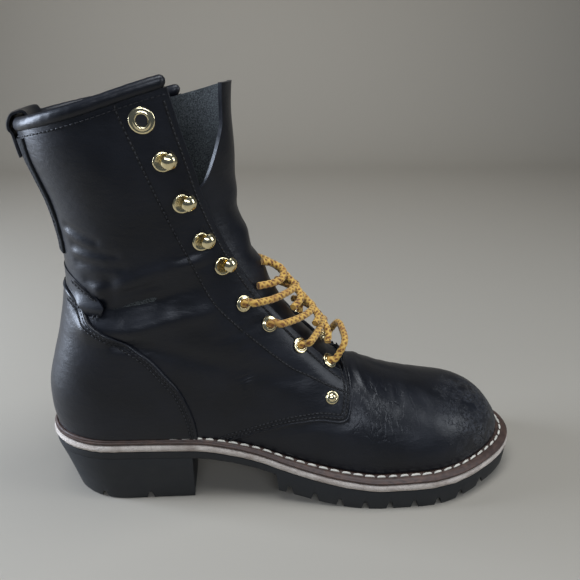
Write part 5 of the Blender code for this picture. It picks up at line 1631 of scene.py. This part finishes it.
def hook_claw():
    """Domed claw of a speed hook, curling over away from the throat."""
    path = resampled(HOOK_PATH, 34) * MM
    heading = unit(np.gradient(path, axis=0))
    up = np.column_stack((-heading[:, 1], heading[:, 0]))
    run = np.linspace(0, 1, len(path))
    half = smooth([at for at, _ in HOOK_HALF], [size for _, size in HOOK_HALF], run) * MM
    across = np.sin(np.linspace(-0.5, 0.5, 19) * math.pi)
    layers = []
    for lift in (0.0, -CLAW_THICK):
        sag = CLAW_DOME * np.sin(np.pi * run)[:, None] * across[None, :] ** 2
        edge = lift * (1 - 0.75 * across[None, :] ** 8) - sag
        x = path[:, 0][:, None] + up[:, 0][:, None] * edge
        z = path[:, 1][:, None] + up[:, 1][:, None] * edge
        y = half[:, None] * across[None, :]
        layers.append(np.stack((x, y, z), axis=-1).reshape(-1, 3))
    index = np.arange(len(path) * len(across)).reshape(len(path), len(across))
    quads = grid_quads(index, False)
    count = index.size
    faces = quads.tolist() + [[corner + count for corner in reversed(face)] for face in quads.tolist()]
    faces += rim_faces(quads, count)
    return np.vstack(layers), faces


def make_hardware():
    for side, label in BOTH:
        eyelets = 0
        hooks = 0
        last = len(FACING["along"]) - 1
        for number in range(last + 1):
            x = float(along(FACING["along"][number]))
            up = float(FACING["up"][number])
            bend = float(rim_bend(x, side)) * step_between(FACING_BEND, 1.0, up) * (side == MEDIAL)
            place = seat_on(x, float(height_of(up)) + bend, side)
            if FACING["hook"][number]:
                hooks += 1
                base, base_faces = turned(HOOK_BASE_PROFILE, closed=False)
                base[:, 0] += HOOK_BASE_SHIFT * MM
                claw, claw_faces = hook_claw()
                faces = base_faces + [[corner + len(base) for corner in face] for face in claw_faces]
                placed(f"hook_look_{label}_{hooks}", np.vstack((base, claw)), faces, place, "pale_brass",
                       f"hook_{label}_{hooks}")
                continue
            eyelets += 1
            scale = TOP_EYELET_SCALE if number == last else 1.0
            points, faces = turned(EYELET_PROFILE)
            placed(f"eyelet_look_{label}_{eyelets}", points * np.array((scale, scale, 1.0)), faces, place,
                   "pale_brass", f"eyelet_{label}_{eyelets}")
            # Near-black disc in the bore: painted shade of the eyelet's hole.
            disc, disc_faces = turned(EYELET_BORE_SHADE_PROFILE, closed=False)
            placed(f"eyelet_bore_shade_{label}_{eyelets}", disc * np.array((scale, scale, 1.0)), disc_faces, place,
                   "thread_and_bore_shade")
        points, faces = turned(RIVET_PROFILE, closed=False)
        place = seat_on(float(along(RIVET_ALONG)), float(height_of(RIVET_UP)), side)
        placed(f"rivet_look_{label}", points, faces, place, "pale_brass", f"rivet_{label}")


# Laces: loose crossings over the lower four eyelets, in metres, X from the heel's back

CROSSINGS = {
    2: (
        ((0.166, -0.029, 0.1085), (0.172, -0.017, 0.1100), (0.1765, -0.002, 0.1105), (0.1790, 0.009, 0.1060),
         (0.1770, 0.0165, 0.1020)),
        ((0.165, 0.023, 0.1125), (0.172, 0.010, 0.1135), (0.1765, -0.002, 0.1105), (0.1790, -0.012, 0.1060),
         (0.1780, -0.0170, 0.1020)),
    ),
    3: (
        ((0.149, -0.030, 0.1215), (0.162, -0.018, 0.1205), (0.170, -0.003, 0.1200), (0.1665, 0.007, 0.1205),
         (0.1590, 0.0170, 0.1180)),
        ((0.149, 0.024, 0.1275), (0.161, 0.012, 0.1260), (0.170, -0.003, 0.1200), (0.1725, -0.0105, 0.1165),
         (0.1700, -0.0160, 0.1145)),
    ),
    4: (
        ((0.133, -0.033, 0.1365), (0.146, -0.022, 0.1350), (0.159, -0.003, 0.1345), (0.1555, 0.007, 0.1345),
         (0.1480, 0.0175, 0.1315)),
        ((0.134, 0.0265, 0.1445), (0.147, 0.010, 0.1440), (0.159, -0.003, 0.1345), (0.1610, -0.0125, 0.1300),
         (0.1560, -0.0200, 0.1275)),
    ),
}
LACE_BAR = ((0.1890, -0.016, 0.1010), (0.1895, -0.003, 0.1035), (0.1880, 0.010, 0.1030))
LACE_LOOP = ((0.1350, -0.0227, 0.1430), (0.1434, -0.0181, 0.1428), (0.1495, -0.0126, 0.1435),
             (0.1505, -0.0070, 0.1470), (0.1450, -0.0040, 0.1500), (0.1380, -0.0060, 0.1525))


def lace_end(number, side):
    """Points through an eyelet, from behind the upper outward."""
    share, up = FACING["along"][number - 1], FACING["up"][number - 1]
    place = seat_on(float(along(share)), float(height_of(up)), side)
    centre, normal = np.array(place.translation), np.array(place.col[2].xyz)
    toward = -np.array(place.col[0].xyz)
    return [centre - normal * 0.0035, centre + normal * 0.0012, centre + normal * 0.0034 + toward * 0.0026]


def from_heel_back(points):
    return [np.array((HEEL_BACK + x, y, z)) for x, y, z in points]


ROPE_STEP = 0.00045
ROPE_SIDES = 18
BRAID_PITCH = 0.0034
FLECK_PITCH = 0.0058


def rope(name, points, nodes=()):
    """Braided round lace along a smooth curve."""
    points = np.array(points)
    length = run_along(points)[-1]
    count = max(int(length / ROPE_STEP), 12)
    centres = resampled(points, count)
    heading = unit(np.gradient(centres, axis=0))
    aside = np.cross(heading[0], (0.0, 0.0, 1.0))
    across = []
    for step in heading:
        aside = aside - step * np.dot(aside, step)
        aside /= np.linalg.norm(aside)
        across.append(aside)
    across = np.array(across)
    over = np.cross(heading, across)
    turns = circle(ROPE_SIDES)
    run = np.linspace(0, length, count)[:, None]
    one = np.cos(3 * turns[None, :] + 2 * math.pi * run / BRAID_PITCH)
    other = np.cos(3 * turns[None, :] - 2 * math.pi * run / BRAID_PITCH)
    braid = np.maximum(one, other)
    size = 1.0 + 0.07 * braid
    # Lighter on the braid's raised strands and darker in the grooves between them: painted shade; the flecks
    # are dark fibres.
    braid_shade_and_fleck = 0.55 + 0.45 * braid
    fleck = (np.sin(2 * turns[None, :] + 2 * math.pi * run / FLECK_PITCH) > 0.70) & (one > other)
    braid_shade_and_fleck = np.where(fleck, 0.12, braid_shade_and_fleck)
    radius = LACE_DIAMETER / 2
    made = tube(name, centres, across * radius, over * radius, ROPE_SIDES, "yellow_lace", size, braid_shade_and_fleck)
    if nodes:
        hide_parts(*nodes)
    return made, centres


def make_lace():
    for number, (one, other) in CROSSINGS.items():
        path = lace_end(number, LATERAL) + from_heel_back(one)
        rope(f"lace_{number}_a", path, (f"lace_crossing_{number}",))
        rope(f"lace_{number}_b", lace_end(number, MEDIAL) + from_heel_back(other))
    bar = lace_end(1, LATERAL) + from_heel_back(LACE_BAR) + lace_end(1, MEDIAL)[::-1]
    rope("lace_1", bar, ("lace_bar_1",))
    points = from_heel_back(LACE_LOOP)
    loop, centres = rope("lace_loop_look", points, ("lace_loop",))
    length = float(run_along(centres)[-1])
    tuple(map(float, centres[0]))
    [tuple(map(float, point)) for point in centres[::6]]


# Seams of the upper

def throat_line(number):
    """Side-view line down one throat edge."""
    edge = POINTS[INDEX[number, :THROAT_ROW + 1, QUARTER_END]]
    return np.column_stack((edge[:, 0], edge[:, 2]))


QUARTER_INSETS = (0.0022, 0.0046)


def rolled_edge(name, points, normals, across, upright):
    """Leather edge along a line on the upper."""
    aside = np.cross(normals, unit(np.gradient(points, axis=0)))
    tube(name, points, aside * across, normals * upright, 10, "black_leather")


def make_seams():
    for place, (side, label) in enumerate(BOTH):
        throat = throat_line(place)
        seam_row(f"eyestay_stitch_{label}", line_points(EYESTAY), side)
        seam_row(f"throat_stitch_{label}", shifted(throat[4:], -0.0028), side)
        for number, inset in enumerate(QUARTER_INSETS):
            row = shifted(SEAM_LINE, -inset)
            row = row[row[:, 1] > feather(row[:, 0]) + 0.001]
            seam_row(f"quarter_stitch_{label}_{number}", row, side)
        points, normals = on_face(throat[:, 0], throat[:, 1], side, -WALL / 2)
        rolled_edge(f"throat_edge_{label}", points, normals, 0.0008, WALL / 2 + 0.0001)
        line = resampled(SEAM_LINE, 200)
        line = line[line[:, 1] > feather(line[:, 0])]
        points, normals = on_face(line[:, 0], line[:, 1], side, 0.0)
        points = points - normals * vamp_drop(line[:, 0], line[:, 1])[:, None]
        rolled_edge(f"quarter_edge_{label}", points - normals * STEP * 0.46, normals, 0.0009, STEP * 0.64)


FLOOR_COLOUR = (0.32, 0.290, 0.240, 1.0)
SKY_COLOUR = (0.62, 0.76, 1.0, 1.0)
SKY_STRENGTH = 0.10


def make_floor():
    reach_out, near, sweep, wall = 3.0, 0.50, 0.35, 1.0
    turns = np.linspace(0, math.pi / 2, 16)
    curve = [(wall + sweep * math.sin(turn), sweep * (1 - math.cos(turn))) for turn in turns]
    profile = [(-near, 0.0)] + curve + [(wall + sweep, reach_out)]
    points = [(x, y, z) for y, z in profile for x in (-reach_out, reach_out)]
    mesh = bpy.data.meshes.new("floor")
    strips = [[2 * row, 2 * row + 1, 2 * row + 3, 2 * row + 2] for row in range(len(profile) - 1)]
    mesh.from_pydata(points, [], strips)
    mesh.shade_smooth()
    finish = bpy.data.materials.new("floor")
    finish.use_nodes = True
    shader = finish.node_tree.nodes["Principled BSDF"]
    shader.inputs["Base Color"].default_value = FLOOR_COLOUR
    shader.inputs["Roughness"].default_value = 0.8
    mesh.materials.append(finish)
    floor = bpy.data.objects.new("floor", mesh)
    bpy.context.scene.collection.objects.link(floor)
    world = bpy.data.worlds.new("studio")
    world.use_nodes = True
    sky = world.node_tree.nodes["Background"]
    sky.inputs["Color"].default_value = SKY_COLOUR
    sky.inputs["Strength"].default_value = SKY_STRENGTH
    bpy.context.scene.world = world
    bpy.context.scene.view_settings.view_transform = "Standard"


MAKERS = (
    make_lace, make_counter, make_ankle_band, make_backstay, make_collar, make_pull_loop, make_tongue,
    make_midsole, make_welt, make_outsole, make_heel, make_hardware, make_seams, make_floor,
)
for make in MAKERS:
    make()
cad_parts["insole"].material_slots[0].material = MATERIALS["tan_insole"]
